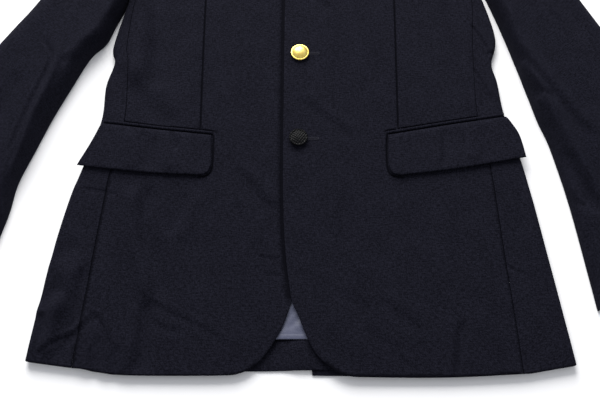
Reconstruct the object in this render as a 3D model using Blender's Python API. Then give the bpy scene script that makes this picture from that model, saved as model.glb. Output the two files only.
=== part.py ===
"""Single-breasted wool blazer laid on its back, front up: every piece is a thin cloth wall.

Lengths are millimetres until a mesh is made. In the tables x runs from the centre line, y runs up the
garment from the hem line, and z is the height above the surface that the garment lies on. Right and
left are the wearer's, so the right side has negative x. The left front closes over the right one.
"""
import math

import bmesh
import bpy
import numpy as np
from mathutils import Vector
from mathutils.geometry import delaunay_2d_cdt

METRES = 0.001
SIDES = {"right": -1, "left": 1}

# Cloth walls
FRONT_CLOTH = 2.2        # wool, canvas and facing together
BACK_CLOTH = 1.0
LINING_CLOTH = 1.0
SLEEVE_CLOTH = 2.2
UNDER_SLEEVE_CLOTH = 1.2
COLLAR_CLOTH = 2.0
LAPEL_CLOTH = 2.0
FLAP_CLOTH = 2.4
WELT_CLOTH = 1.2
SEAM_GAP = 0.35
UNDERARM_GAP = 1.2
LAYER_GAP = 0.6          # between a panel and what is sewn or folded over it
BUTTON_GAP = 0.3

# Heights of the layers
BODY_HEIGHT = 9.0        # top of the fronts above the floor
HEM_DROP = 1.2
HEM_DROP_REACH = (0.0, 40.0)
SHOULDER_RISE = 5.0      # padding at the shoulders
PAD_ALONG = (500.0, 680.0)   # it starts and is full at these heights
PAD_ACROSS = (30.0, 140.0)   # and at these distances from the centre
PAD_SHARE = 0.9          # share of the rise that is padding inside the wall
SHOULDER_EDGE_TOP = 7.0
SHOULDER_EDGE_BOTTOM = 4.4
SHOULDER_ROUND = 13.0
SHOULDER_ROUND_SHIFT = 5.0
UNDER_FRONT_DIP = 2.1    # the right front sinks where the left one lies over it
UNDER_FRONT_REACH = (-80.0, -28.0)
OVER_FRONT_LIFT = 0.6
OVER_FRONT_REACH = (20.0, 110.0)
BREAK_LIFT = 2.6         # extra lift of the left front where both lapels start
BREAK_REACH = (440.0, 485.0)
OVERLAP_END = (560.0, 640.0)
TURN_UP = 33.0           # depth of the hem folded up inside the back
TURN_UP_CLOTH = 0.8
TURN_UP_STEP = 0.4       # half of the slope at its upper edge
TURN_UP_REACH = (TURN_UP + 8.0, TURN_UP + 33.0)
VENT_LIFT = 1.3
VENT_TOP = 232.0
VENT_END = (VENT_TOP, VENT_TOP + 50.0)
VENT_SHOULDER = 12.0     # slant at the top of the underlap
VENT_UNDERLAP_X = 35.0
VENT_SLOPE = (-24.0, -1.0)   # x where the right half starts to climb over the left one, and is up
NECK_LIFT = 2.4          # the collar's fall lies beneath the back here
NECK_LIFT_ALONG = (645.0, 713.0)
NECK_LIFT_ACROSS = (122.0, 182.0)
LINING_FOOT = TURN_UP + 0.75
LINING_FLOOR = 1.8
LINING_OVER_VENT = 1.6
LINING_RIGHT_SLOPE = (-85.0, -25.0)
LINING_LEFT_SLOPE = (45.0, 105.0)
LINING_END_SLOPE = (245.0, 305.0)
LINING_SIDE_INSET = 3.0
LINING_ARMHOLE_INSET = 16.0
LINING_SHOULDER_INSET = 14.0
LINING_NECK_INSET = 3.5

# Seams and edges
BACK_SEAM_INSET = 45.0   # side fold to the back seam, beneath
ARMPIT_Y = 545.0
SHOULDER_TIP = (208.0, 718.0)
NECK_POINT = (86.9, 758.2)
BREAK = (-20.5, 495.0)   # foot of the left roll line, on the overlapping front edge
GORGE = (62.0, 722.0)    # top of the left roll line
BACK_NECK = (0.0, 738.0)
COLLAR_TOP_Y = 780.0
HEM_LOW_Y = -5.4
SLEEVE_CLEARANCE = 1.0
SLEEVE_RIM = 2.4
SLEEVE_OUTER_ROUND = 24.0
UNDER_SLEEVE_INSET = 4.3

# Side edge, hem to armpit: height y, distance of the side fold, distance of the seam to the front
SIDE_EDGE = {
    "right": (
        (12.8, 270.9, 227.6),
        (120.0, 252.0, 217.5),
        (214.6, 235.2, 208.4),
        (280.0, 224.0, 197.5),
        (325.0, 222.5, 198.0),
        (356.0, 215.3, 199.0),
        (378.0, 218.6, 202.0),
        (439.0, 205.3, 196.5),
        (490.0, 190.0, 182.0),
        (ARMPIT_Y, 178.0, 170.0),
    ),
    "left": (
        (8.8, 269.5, 215.8),
        (120.0, 254.0, 208.5),
        (222.0, 239.0, 202.5),
        (286.0, 224.5, 193.5),
        (330.0, 220.0, 193.8),
        (354.7, 215.8, 194.4),
        (388.0, 223.2, 196.0),
        (439.0, 213.5, 199.0),
        (490.0, 197.0, 187.0),
        (ARMPIT_Y, 178.0, 170.0),
    ),
}
HEM_SLANT = {"right": 0.135, "left": 0.17}
HEM_SLANT_REACH = 60.0

# Front edge and hem, from the foot of the roll line down and out to the side panel: x, y
FRONT_EDGE = {
    "right": (
        (20.5, 495.0),
        (20.0, 350.0),
        (18.0, 185.0),
        (4.0, 112.0),
        (-11.1, 77.3),
        (-17.1, 55.4),
        (-25.8, 27.8),
        (-40.2, 0.9),
        (-66.5, -3.0),
        (-150.0, -3.0),
        (-189.0, -1.0),
    ),
    "left": (
        BREAK,
        (-21.5, 357.0),
        (-21.0, 173.0),
        (-13.2, 84.7),
        (-3.0, 53.3),
        (8.9, 32.9),
        (24.6, 12.8),
        (41.1, -2.0),
        (70.4, -5.0),
        (143.7, -5.0),
    ),
}
# Left side; the right side mirrors these
ARMHOLE = ((172.0, 575.0), (176.5, 620.0), (190.0, 665.0), SHOULDER_TIP)
SHOULDER_SEAM = (SHOULDER_TIP, (150.0, 738.5), NECK_POINT)
FRONT_NECK = (NECK_POINT, (82.3, 750.0), (75.0, 737.0), (67.0, 724.5), (66.0, 722.2), GORGE)
BACK_NECK_SEAM = (NECK_POINT, (72.0, 748.5), (40.0, 740.8), BACK_NECK)
CENTRE_BACK = ((10.0, -3.0), (3.0, VENT_TOP), BACK_NECK)
BACK_HEM = {
    "right": ((VENT_UNDERLAP_X, 0.9), (-40.0, 0.9), (-150.0, 1.0)),
    "left": ((10.0, -3.0), (60.0, -3.0), (150.0, -2.0)),
}
LAPEL_START = (BREAK[0] + 1.6, BREAK[1] + 4.5)
LAPEL_EDGE = ((-13.5, 499.5), (22.5, 525.6), (63.2, 567.2), (100.1, 616.1), (123.9, 652.2), (138.2, 676.8))
# Round the roll: distance from the roll line, which level it is measured from, height above that level
LAPEL_ROLL = (
    ((-2.9, "bottom", 0.0), (-0.5, "bottom", 0.0)),
    ((-2.9, "top", -0.2), (-0.5, "top", -0.2)),
    ((-2.1, "top", 1.7), (-0.5, "top", 0.3)),
    ((-0.4, "top", LAYER_GAP + LAPEL_CLOTH), (-0.3, "top", LAYER_GAP)),
)

# Largest folds of the fronts: from x, y to x, y, half width, height (a trough is negative)
FOLDS = (
    (-182.0, 139.0, -161.0, 84.0, 13.0, -1.6),
    (-161.0, 84.0, -131.0, 51.0, 9.0, -1.3),
    (-131.0, 51.0, -72.0, 21.0, 7.0, -1.1),
    (-164.0, 57.0, -164.0, 2.0, 9.0, -1.4),
    (-203.0, 152.0, -180.0, 66.0, 13.0, 1.6),
    (-210.0, 48.0, -212.0, 0.0, 11.0, 2.4),
    (-147.0, 42.0, -146.0, -3.0, 9.0, 1.6),
    (-72.0, 234.0, -38.0, 198.0, 12.0, -1.4),
    (-86.0, 323.0, -57.0, 298.0, 12.0, -1.2),
    (-180.0, 436.0, -166.0, 305.0, 15.0, -1.4),
    (83.0, 55.0, 122.0, 35.0, 9.0, -1.2),
    (153.0, 20.0, 153.0, -5.0, 8.0, -1.4),
    (0.0, 303.0, 47.0, 270.0, 14.0, -1.0),
)

# Sleeve sections, armhole to cuff: inner edge x, y, outer edge x, y, height, ridge from the inner edge
SLEEVE_SECTIONS = {
    "right": (
        (181.0, 547.0, 208.6, 718.6, 14.0, 30.0),
        (185.0, 529.0, 222.0, 685.0, 18.0, 30.0),
        (191.0, 500.0, 240.0, 635.0, 22.0, 31.0),
        (200.0, 465.0, 262.0, 570.0, 25.0, 32.0),
        (208.0, 436.0, 282.0, 512.0, 27.0, 33.0),
        (215.0, 408.0, 299.0, 466.0, 28.0, 34.0),
        (220.5, 384.0, 315.0, 431.0, 28.0, 35.0),
        (240.5, 364.6, 334.5, 400.0, 28.0, 35.0),
        (258.0, 325.0, 355.0, 368.0, 27.0, 29.0),
        (275.2, 285.2, 376.0, 330.0, 26.0, 25.0),
        (290.0, 245.0, 395.0, 286.0, 25.0, 21.0),
        (304.0, 206.4, 411.0, 241.0, 23.0, 18.0),
        (309.3, 172.8, 424.0, 200.0, 21.0, 18.0),
        (316.1, 144.5, 435.0, 168.0, 18.0, 18.0),
        (332.0, 78.0, 458.0, 112.0, 13.0, 18.0),
    ),
    "left": (
        (181.0, 547.0, 208.6, 718.6, 14.0, 24.0),
        (187.0, 529.0, 222.0, 685.0, 18.0, 24.0),
        (196.0, 503.0, 240.0, 638.0, 22.0, 23.0),
        (208.0, 466.0, 262.0, 580.0, 25.0, 22.0),
        (217.0, 430.0, 288.0, 522.0, 27.0, 21.0),
        (224.3, 397.7, 313.0, 470.0, 27.0, 20.0),
        (233.0, 360.0, 337.0, 423.0, 26.0, 20.0),
        (242.9, 318.2, 360.0, 377.0, 26.0, 20.0),
        (255.0, 282.0, 379.0, 335.0, 25.0, 20.0),
        (264.3, 255.5, 393.0, 293.0, 24.0, 20.0),
        (270.0, 222.0, 403.0, 250.0, 22.0, 20.0),
        (276.0, 189.0, 411.0, 208.0, 20.0, 19.0),
        (287.0, 150.0, 418.0, 165.0, 17.0, 18.0),
        (296.4, 64.7, 424.0, 92.0, 13.0, 18.0),
    ),
}
# Where the sleeve's first section bends in to the armhole: y, x
SLEEVE_HEAD = ((547.0, 181.0), (558.0, 175.5), (575.0, 173.2), (620.0, 177.6), (665.0, 191.0), (718.6, 208.6))
SLEEVE_HEAD_REACH = 75.0
RIDGE_HEIGHT = 2.5
RIDGE_WIDTH = 9.0
MID_SLEEVE_SAG = 3.0

# Collar sections, gorge to centre back: foot x, y, fold x, y, free edge x, y, and which way the fall
# turns over the stand (1 above it, 0 beside it, -1 beneath it)
COLLAR_SECTIONS = (
    (66.0, 725.0, 63.4, 724.2, 107.3, 698.6, 1.0),
    (74.2, 738.0, 68.5, 739.5, 130.0, 723.0, 1.0),
    (81.2, 750.8, 74.0, 756.0, 124.0, 741.0, 1.0),
    (85.9, 758.6, 80.0, 767.0, 121.5, 754.5, 1.0),
    (87.6, 761.4, 84.0, 773.0, 118.0, 759.5, 0.0),
    (84.6, 760.4, 79.0, 777.0, 113.0, 757.5, -1.0),
    (76.0, 753.4, 70.0, 778.0, 100.0, 743.0, -1.0),
    (44.0, 743.6, 40.0, 774.0, 55.0, 730.0, -1.0),
    (0.0, 739.4, 0.0, 770.0, 0.0, 728.0, -1.0),
)
COLLAR_SIDE_HEIGHT = 6.0
COLLAR_FLOOR = 1.0
FOLD_GAP = 2.7           # middle of the stand to middle of the fall

# Pocket flaps: outline x, y from the inner end of the pocket mouth, along it, round and back
FLAPS = {
    "right": (
        ((-100.7, 261.6), (-160.0, 268.4), (-222.0, 276.2)),
        ((-222.0, 276.2), (-232.0, 250.0), (-243.7, 224.1)),
        ((-243.7, 224.1), (-175.0, 216.0), (-112.0, 212.3)),
        ((-112.0, 212.3), (-103.0, 215.3), (-99.2, 225.5)),
    ),
    "left": (
        ((93.1, 261.8), (160.0, 274.0), (224.8, 284.6)),
        ((224.8, 284.6), (236.5, 262.0), (241.4, 233.7)),
        ((241.4, 233.7), (169.0, 220.5), (105.0, 212.0)),
        ((105.0, 212.0), (96.0, 214.5), (92.4, 224.0)),
    ),
}
WELT_HEIGHT = 4.2
WELT_OVERHANG = 1.5

# Buttons down the left front: name, x, y, profile
BUTTON_SIDES = 24
DOMED_BUTTON = (
    (2.5, 0.0), (2.5, 1.5), (9.3, 1.5), (10.4, 2.3), (10.4, 3.0), (9.2, 4.4), (6.4, 5.8), (3.2, 6.5),
)
RIMMED_BUTTON = (
    (2.5, 0.0), (2.5, 1.2), (8.6, 1.2), (10.2, 2.2), (10.3, 3.4), (9.5, 4.1), (8.3, 3.7), (4.5, 4.4),
)
BUTTONS = (
    ("button_top", -3.4, 478.0, DOMED_BUTTON, "gold_metal"),
    ("button_middle", -3.4, 368.0, DOMED_BUTTON, "gold_metal"),
    ("button_bottom", -5.0, 259.2, RIMMED_BUTTON, "dark_button"),
)

# Spacing of the points that carry each wall
EDGE_STEP = 27.0
FRONT_STEP = 31.0
BACK_STEP = 46.0
LINING_STEP = 48.0
SMALL_STEP = 22.0
SECTION_STEP = 27.0
MARGIN = 4.0             # from an edge to the nearest inner line of points

# Finish: base colour, roughness, metallic
FINISHES = {
    "navy_wool": ((0.0125, 0.0125, 0.0195, 1.0), 0.9, 0.0),
    "lining": ((0.135, 0.146, 0.235, 1.0), 0.45, 0.0),
    "gold_metal": ((0.93, 0.72, 0.30, 1.0), 0.25, 1.0),
    "dark_button": ((0.014, 0.015, 0.018, 1.0), 0.35, 0.0),
}


# ---- curves and heights ---------------------------------------------------------------------------

def ease(t):
    """Rise smoothly from 0 to 1 as t goes from 0 to 1."""
    t = min(max(t, 0.0), 1.0)
    return t * t * (3 - 2 * t)


def ramp(value, start, end):
    """Rise smoothly from 0 at start to 1 at end."""
    return ease((value - start) / (end - start))


def quarter_round(t):
    """Rise from 0 to 1 along a quarter of a circle."""
    t = min(max(t, 0.0), 1.0)
    return math.sqrt(1 - (1 - t) ** 2)


def curve(rows, step):
    """Smooth curve through rows of numbers, with a row about every step."""
    rows = [np.array(row, float) for row in rows]
    ends = [2 * rows[0] - rows[1]] + rows + [2 * rows[-1] - rows[-2]]
    points = []
    for before, start, end, after in zip(ends, ends[1:], ends[2:], ends[3:]):
        count = max(1, round(float(np.linalg.norm(end - start)) / step))
        for t in np.arange(count) / count:
            slope = (end - before) * t
            bend = (2 * before - 5 * start + 4 * end - after) * t ** 2
            twist = (3 * start - before - 3 * end + after) * t ** 3
            points.append(start + 0.5 * (slope + bend + twist))
    points.append(rows[-1])
    return points


def mirrored(points, side):
    """Points given for the left side, moved to the named side."""
    return [(SIDES[side] * x, y) for x, y in points]


def distance_to_line(x, y, x0, y0, x1, y1):
    """Distance of a point from a straight piece of line."""
    run = (x1 - x0) ** 2 + (y1 - y0) ** 2
    t = ((x - x0) * (x1 - x0) + (y - y0) * (y1 - y0)) / run
    t = min(max(t, 0.0), 1.0)
    return math.hypot(x - x0 - t * (x1 - x0), y - y0 - t * (y1 - y0))


def fold_height(side, x, y):
    """Sum of the folds of one front at a point."""
    total = 0.0
    for x0, y0, x1, y1, width, height in FOLDS:
        if x0 * SIDES[side] >= 0:
            reach = distance_to_line(x, y, x0, y0, x1, y1) / width
            total += height * math.exp(-reach * reach)
    return total


def shoulder_rise(x, y):
    return SHOULDER_RISE * ramp(y, *PAD_ALONG) * ramp(abs(x), *PAD_ACROSS)


def front_top(side, x, y):
    """Height of the top of a front, and of the side panel beside it."""
    height = BODY_HEIGHT + shoulder_rise(x, y) + fold_height(side, x, y)
    height -= HEM_DROP * (1 - ramp(y, *HEM_DROP_REACH))
    below_lapels = 1 - ramp(y, *OVERLAP_END)
    if side == "right":
        return height - UNDER_FRONT_DIP * ramp(x, *UNDER_FRONT_REACH) * below_lapels
    lift = OVER_FRONT_LIFT + BREAK_LIFT * ramp(y, *BREAK_REACH)
    return height + lift * (1 - ramp(x, *OVER_FRONT_REACH)) * below_lapels


def front_bottom(side, x, y):
    return front_top(side, x, y) - FRONT_CLOTH - PAD_SHARE * shoulder_rise(x, y)


def shoulder_seam_distance(x, y):
    """Distance of a point from the shoulder seam."""
    pieces = zip(SHOULDER_SEAM, SHOULDER_SEAM[1:])
    return min(distance_to_line(abs(x), y, *start, *end) for start, end in pieces)


def front_wall(side, x, y):
    """Bottom and top of a front, rounded down to the back along the shoulder seam."""
    near = quarter_round(shoulder_seam_distance(x, y) / SHOULDER_ROUND)
    bottom = SHOULDER_EDGE_BOTTOM + (front_bottom(side, x, y) - SHOULDER_EDGE_BOTTOM) * near
    top = SHOULDER_EDGE_TOP + (front_top(side, x, y) - SHOULDER_EDGE_TOP) * near
    return bottom, top


def neck_lift(x, y):
    """How far the back is lifted by the collar's fall beneath it."""
    return NECK_LIFT * ramp(y, *NECK_LIFT_ALONG) * (1 - ramp(abs(x), *NECK_LIFT_ACROSS))


def back_wall(side, x, y):
    """Bottom and top of a back half: doubled at the hem, the right half over the left at the vent."""
    bottom = neck_lift(x, y)
    if side == "right":
        lift = VENT_LIFT + TURN_UP_CLOTH * (1 - ramp(y, *TURN_UP_REACH))
        bottom += lift * ramp(x, *VENT_SLOPE) * (1 - ramp(y, *VENT_END))
    turned = TURN_UP_CLOTH if y < TURN_UP else 0.0
    return bottom, bottom + BACK_CLOTH + turned


def lining_wall(x, y):
    """Bottom and top of the lining, lifted over the vent and the neck."""
    over_vent = ramp(x, *LINING_RIGHT_SLOPE) * (1 - ramp(x, *LINING_LEFT_SLOPE))
    over_vent *= 1 - ramp(y, *LINING_END_SLOPE)
    bottom = LINING_FLOOR + LINING_OVER_VENT * over_vent + neck_lift(x, y)
    return bottom, bottom + LINING_CLOTH


# ---- solids ---------------------------------------------------------------------------------------

def material(slot):
    """Plain finish for one kind of piece."""
    if slot in bpy.data.materials:
        return bpy.data.materials[slot]
    made = bpy.data.materials.new(slot)
    made.use_nodes = True
    shader = made.node_tree.nodes["Principled BSDF"]
    colour, roughness, metallic = FINISHES[slot]
    shader.inputs["Base Color"].default_value = colour
    shader.inputs["Roughness"].default_value = roughness
    shader.inputs["Metallic"].default_value = metallic
    return made


def centre_of_box():
    """Middle of the garment's plan, between the cuffs and between the hem and the collar."""
    right_cuff = SLEEVE_SECTIONS["right"][-1][2]
    left_cuff = SLEEVE_SECTIONS["left"][-1][2]
    return (left_cuff - right_cuff) / 2, (COLLAR_TOP_Y + HEM_LOW_Y) / 2


def solid(name, slot, points, faces):
    """One closed piece from points in millimetres, its faces turned outwards."""
    middle_x, middle_y = centre_of_box()
    mesh = bpy.data.meshes.new(name)
    placed = [((x - middle_x) * METRES, (y - middle_y) * METRES, z * METRES) for x, y, z in points]
    mesh.from_pydata(placed, [], faces)
    shape = bmesh.new()
    shape.from_mesh(mesh)
    bmesh.ops.triangulate(shape, faces=shape.faces)
    bmesh.ops.recalc_face_normals(shape, faces=shape.faces)
    shape.to_mesh(mesh)
    shape.free()
    mesh.materials.append(material(slot))
    piece = bpy.data.objects.new(name, mesh)
    bpy.context.scene.collection.objects.link(piece)
    return piece


def wall(name, slot, outer, inner):
    """Wall between two grids of points with the same rows and columns."""
    rows, columns = len(outer), len(outer[0])
    points = [tuple(point) for grid in (outer, inner) for row in grid for point in row]
    back = rows * columns

    def at(row, column):
        return row * columns + column

    faces = []
    for row in range(rows - 1):
        for column in range(columns - 1):
            corners = (at(row, column), at(row, column + 1), at(row + 1, column + 1), at(row + 1, column))
            faces.append(corners)
            faces.append(tuple(back + corner for corner in reversed(corners)))
    rim = [at(0, column) for column in range(columns)]
    rim += [at(row, columns - 1) for row in range(1, rows)]
    rim += [at(rows - 1, column) for column in reversed(range(columns - 1))]
    rim += [at(row, 0) for row in reversed(range(1, rows - 1))]
    for start, end in zip(rim, rim[1:] + rim[:1]):
        faces.append((end, start, back + start, back + end))
    return solid(name, slot, points, faces)


def ribbon(name, slot, rows, thickness):
    """Wall of even thickness about a grid of middle points."""
    grid = np.array(rows, float)
    along = np.gradient(grid, axis=0)
    across = np.gradient(grid, axis=1)
    normal = np.cross(along, across)
    normal /= np.linalg.norm(normal, axis=2, keepdims=True)
    return wall(name, slot, grid + normal * thickness / 2, grid - normal * thickness / 2)


def inside(x, y, outline):
    """True where a point lies within a closed outline."""
    within = False
    for (x0, y0), (x1, y1) in zip(outline, outline[1:] + outline[:1]):
        if (y0 > y) != (y1 > y) and x < x0 + (y - y0) * (x1 - x0) / (y1 - y0):
            within = not within
    return within


def lattice(outline, step):
    """Points of an even triangular net that lie well within an outline."""
    xs, ys = zip(*outline)
    row_height = step * math.sqrt(3) / 2
    points = []
    for row in range(math.floor(min(ys) / row_height), math.ceil(max(ys) / row_height) + 1):
        shift = 0.5 * (row % 2)
        for column in range(math.floor(min(xs) / step) - 1, math.ceil(max(xs) / step) + 1):
            x, y = (column + shift) * step, row * row_height
            if not inside(x, y, outline):
                continue
            edges = zip(outline, outline[1:] + outline[:1])
            if min(distance_to_line(x, y, *start, *end) for start, end in edges) > 0.45 * step:
                points.append((x, y))
    return points


def panel(name, slot, outline, heights, step, lines=()):
    """Flat-lying wall inside an outline; heights(x, y) gives its bottom and top.

    Lines are open runs of points that the facets have to follow.
    """
    outline = [(float(x), float(y)) for x, y in outline]
    plan = list(outline)
    edges = [(index, (index + 1) % len(outline)) for index in range(len(outline))]
    for line in lines:
        first = len(plan)
        plan += [(float(x), float(y)) for x, y in line]
        edges += [(index, index + 1) for index in range(first, len(plan) - 1)]
    plan += lattice(outline, step)
    plan, _, facets, _, _, _ = delaunay_2d_cdt([Vector(point) for point in plan], edges, [], 1, 0.001)
    walls = [heights(point.x, point.y) for point in plan]
    count = len(plan)
    points = [(point.x, point.y, top) for point, (_, top) in zip(plan, walls)]
    points += [(point.x, point.y, bottom) for point, (bottom, _) in zip(plan, walls)]
    faces = [tuple(facet) for facet in facets]
    faces += [tuple(count + corner for corner in reversed(facet)) for facet in facets]
    directed = {(facet[i - 1], facet[i]) for facet in facets for i in range(len(facet))}
    rim = [(start, end) for start, end in directed if (end, start) not in directed]
    faces += [(count + start, count + end, end, start) for start, end in sorted(rim)]
    return solid(name, slot, points, faces)


def turned(name, slot, x, y, z, profile):
    """Round piece from a profile of radius and height, closed at both poles."""
    points = [(x, y, z + profile[0][1])]
    for radius, height in profile:
        for turn in np.arange(BUTTON_SIDES) * 2 * math.pi / BUTTON_SIDES:
            points.append((x + radius * math.cos(turn), y + radius * math.sin(turn), z + height))
    points.append((x, y, z + profile[-1][1]))
    last = len(points) - 1
    faces = []
    for side in range(BUTTON_SIDES):
        after = (side + 1) % BUTTON_SIDES
        faces.append((0, 1 + after, 1 + side))
        top = last - BUTTON_SIDES
        faces.append((last, top + side, top + after))
        for ring in range(len(profile) - 1):
            low, high = 1 + ring * BUTTON_SIDES, 1 + (ring + 1) * BUTTON_SIDES
            faces.append((low + side, low + after, high + after, high + side))
    return solid(name, slot, points, faces)


# ---- pieces ---------------------------------------------------------------------------------------

def side_rows(side):
    return curve(SIDE_EDGE[side], SECTION_STEP)


def slanted(side, y, from_fold):
    """Height along the garment of a point set in from the side fold, where the hem runs aslant."""
    hem = SIDE_EDGE[side][0][0]
    return y - HEM_SLANT[side] * from_fold * (1 - ease((y - hem) / HEM_SLANT_REACH))


def fold_distance(side, y):
    """Distance of the side fold from the centre line."""
    rows = SIDE_EDGE[side]
    return float(np.interp(y, [row[0] for row in rows], [row[1] for row in rows]))


def side_panel(side):
    """Underarm panel: from the back seam beneath, round the side fold, to the seam on the front."""
    sign = SIDES[side]
    outer, inner = [], []
    for y, fold, seam in side_rows(side):
        radius = front_top(side, sign * (fold - BODY_HEIGHT / 2), y) / 2
        centre = fold - radius
        beneath = [(fold - BACK_SEAM_INSET, 0.0), (fold - BACK_SEAM_INSET / 2, 0.0), (centre, 0.0)]
        upper = [(centre, 2 * radius), ((centre + seam + SEAM_GAP) / 2, None), (seam + SEAM_GAP, None)]
        ring_outer, ring_inner = [], []
        for distance, height in beneath:
            ring_outer.append((distance, height))
            ring_inner.append((distance, height + FRONT_CLOTH))
        for angle in (-60, -25, 10, 45):
            turn = math.radians(angle)
            for ring, reach in ((ring_outer, radius), (ring_inner, radius - FRONT_CLOTH)):
                ring.append((centre + reach * math.cos(turn), radius + reach * math.sin(turn)))
        for distance, height in upper:
            height = height or front_top(side, sign * distance, slanted(side, y, fold - distance))
            ring_outer.append((distance, height))
            ring_inner.append((distance, height - FRONT_CLOTH))
        for grid, ring in ((outer, ring_outer), (inner, ring_inner)):
            grid.append([(sign * x, slanted(side, y, fold - x), z) for x, z in ring])
    return wall(f"side_panel_{side}", "navy_wool", outer, inner)


def front_seam(side):
    """Seam of the front along the side panel, hem to armpit."""
    sign = SIDES[side]
    return [(sign * seam, slanted(side, y, fold - seam)) for y, fold, seam in side_rows(side)]


def front(side):
    """One front, with its neck, roll line, front edge and hem."""
    seam = front_seam(side)
    hem = curve(FRONT_EDGE[side] + (tuple(seam[0]),), EDGE_STEP)[:-1]
    armhole = curve([(abs(seam[-1][0]), seam[-1][1] + UNDERARM_GAP)] + list(ARMHOLE), EDGE_STEP)
    shoulder = curve(SHOULDER_SEAM, EDGE_STEP)[1:]
    roll = curve((GORGE, BREAK), EDGE_STEP)[1:-1]
    outline = list(hem) + seam + mirrored(armhole, side) + mirrored(shoulder, side)
    outline += mirrored(FRONT_NECK[1:], side) + mirrored(roll, side)
    rounding = [(x - SHOULDER_ROUND_SHIFT, y - SHOULDER_ROUND) for x, y in shoulder[:-2]]

    def heights(x, y):
        return front_wall(side, x, y)

    return panel(f"front_{side}", "navy_wool", outline, heights, FRONT_STEP, [mirrored(rounding, side)])


def back_seam(side, inset):
    """Seam of the back along the side panel, hem to armpit."""
    sign = SIDES[side]
    points = []
    for y, fold, _ in side_rows(side):
        distance = fold - BACK_SEAM_INSET - inset
        points.append((sign * distance, slanted(side, y, fold - distance)))
    return points


def back(side):
    """Half of the back; the right half runs on under the vent, over the left one."""
    sign = SIDES[side]
    seam = back_seam(side, SEAM_GAP)
    hem = curve(BACK_HEM[side] + (tuple(seam[0]),), BACK_STEP)[1:-1]
    centre = [(x + sign * SEAM_GAP / 2, y) for x, y in reversed(curve(CENTRE_BACK, BACK_STEP))]
    edges = (TURN_UP - TURN_UP_STEP, TURN_UP + TURN_UP_STEP)
    stops = [CENTRE_BACK[0][0] + MARGIN]
    lines = []
    if side == "right":
        foot = BACK_HEM[side][0]
        underlap = curve(((foot[0], VENT_TOP - VENT_SHOULDER), (foot[0], edges[1])), BACK_STEP)
        vent_top = (CENTRE_BACK[1][0] - SEAM_GAP, VENT_TOP)
        centre = [point for point in centre if point[1] > VENT_TOP + MARGIN]
        centre += [vent_top] + underlap + [(foot[0], edges[0]), foot]
        stops = [foot[0] - MARGIN] + list(reversed(VENT_SLOPE))
        for x in VENT_SLOPE:
            lines.append(curve(((x, TURN_UP + MARGIN), (x, VENT_TOP - MARGIN)), BACK_STEP))
            lines.append(((x, MARGIN), (x, TURN_UP - MARGIN)))
    stops += list(np.linspace(stops[-1], sign * (abs(seam[0][0]) - MARGIN), 6))[1:]
    lines += [[(x, y) for x in stops] for y in edges]
    underarm = (SIDE_EDGE[side][-1][2], ARMPIT_Y + UNDERARM_GAP)
    armhole = curve((underarm,) + ARMHOLE, EDGE_STEP)
    shoulder = curve(SHOULDER_SEAM, BACK_STEP)[1:]
    neck = curve(BACK_NECK_SEAM, EDGE_STEP)[1:-1]
    outline = centre + hem + seam + [(seam[-1][0], ARMPIT_Y + UNDERARM_GAP)]
    outline += mirrored(armhole, side) + mirrored(shoulder, side) + mirrored(neck, side)

    def heights(x, y):
        return back_wall(side, x, y)

    return panel(f"back_{side}", "navy_wool", outline, heights, BACK_STEP, lines)


def lining():
    """Lining of the back, from the hem's turn-up to the neck."""
    halves = {}
    for side, sign in SIDES.items():
        seam = [point for point in back_seam(side, LINING_SIDE_INSET) if point[1] > TURN_UP + MARGIN]
        hem = curve(((0.0, LINING_FOOT), (seam[0][0] + sign * MARGIN / 2, LINING_FOOT)), LINING_STEP)[1:]
        armhole = [(x - LINING_ARMHOLE_INSET, y) for x, y in curve(ARMHOLE[:-1], LINING_STEP)]
        shoulder = [(x, y - LINING_SHOULDER_INSET) for x, y in curve(SHOULDER_SEAM, LINING_STEP)[1:-1]]
        neck = [(x, y - LINING_NECK_INSET) for x, y in BACK_NECK_SEAM[1:-1]]
        halves[side] = hem + seam
        halves[side] += mirrored(armhole, side) + mirrored(shoulder, side) + mirrored(neck, side)
    top = (0.0, BACK_NECK[1] - LINING_NECK_INSET)
    left = [top] + list(reversed(halves["left"])) + [(0.0, LINING_FOOT)]
    lines = []
    for slope in (LINING_RIGHT_SLOPE, LINING_LEFT_SLOPE):
        for x in np.linspace(*slope, 3):
            lines.append(curve(((x, LINING_FOOT + MARGIN), (x, LINING_END_SLOPE[1])), LINING_STEP))
    return panel("back_lining", "lining", halves["right"] + left, lining_wall, LINING_STEP, lines)


def flap_outline(side):
    mouth, end, bottom, corner = FLAPS[side]
    points = []
    for piece, step in ((mouth, SMALL_STEP), (end, SMALL_STEP), (bottom, SMALL_STEP), (corner, 6.0)):
        points += curve(piece, step)[:-1]
    return points + [corner[-1]]


def flap(side):
    def heights(x, y):
        bottom = front_top(side, x, y) + LAYER_GAP
        return bottom, bottom + FLAP_CLOTH

    return panel(f"flap_{side}", "navy_wool", flap_outline(side), heights, SMALL_STEP)


def welt(side):
    """Narrow piped edge above the pocket mouth."""
    mouth = curve(FLAPS[side][0], SMALL_STEP)
    inward = np.array((-SIDES[side] * WELT_OVERHANG, 0.0))
    lower = [mouth[0] + inward] + mouth[1:]
    lower = [(x, y + SEAM_GAP) for x, y in lower]
    upper = [(x, y + WELT_HEIGHT) for x, y in reversed(lower)]

    def heights(x, y):
        bottom = front_top(side, x, y) + LAYER_GAP
        return bottom, bottom + WELT_CLOTH

    return panel(f"welt_{side}", "navy_wool", lower + upper, heights, SMALL_STEP)


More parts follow.
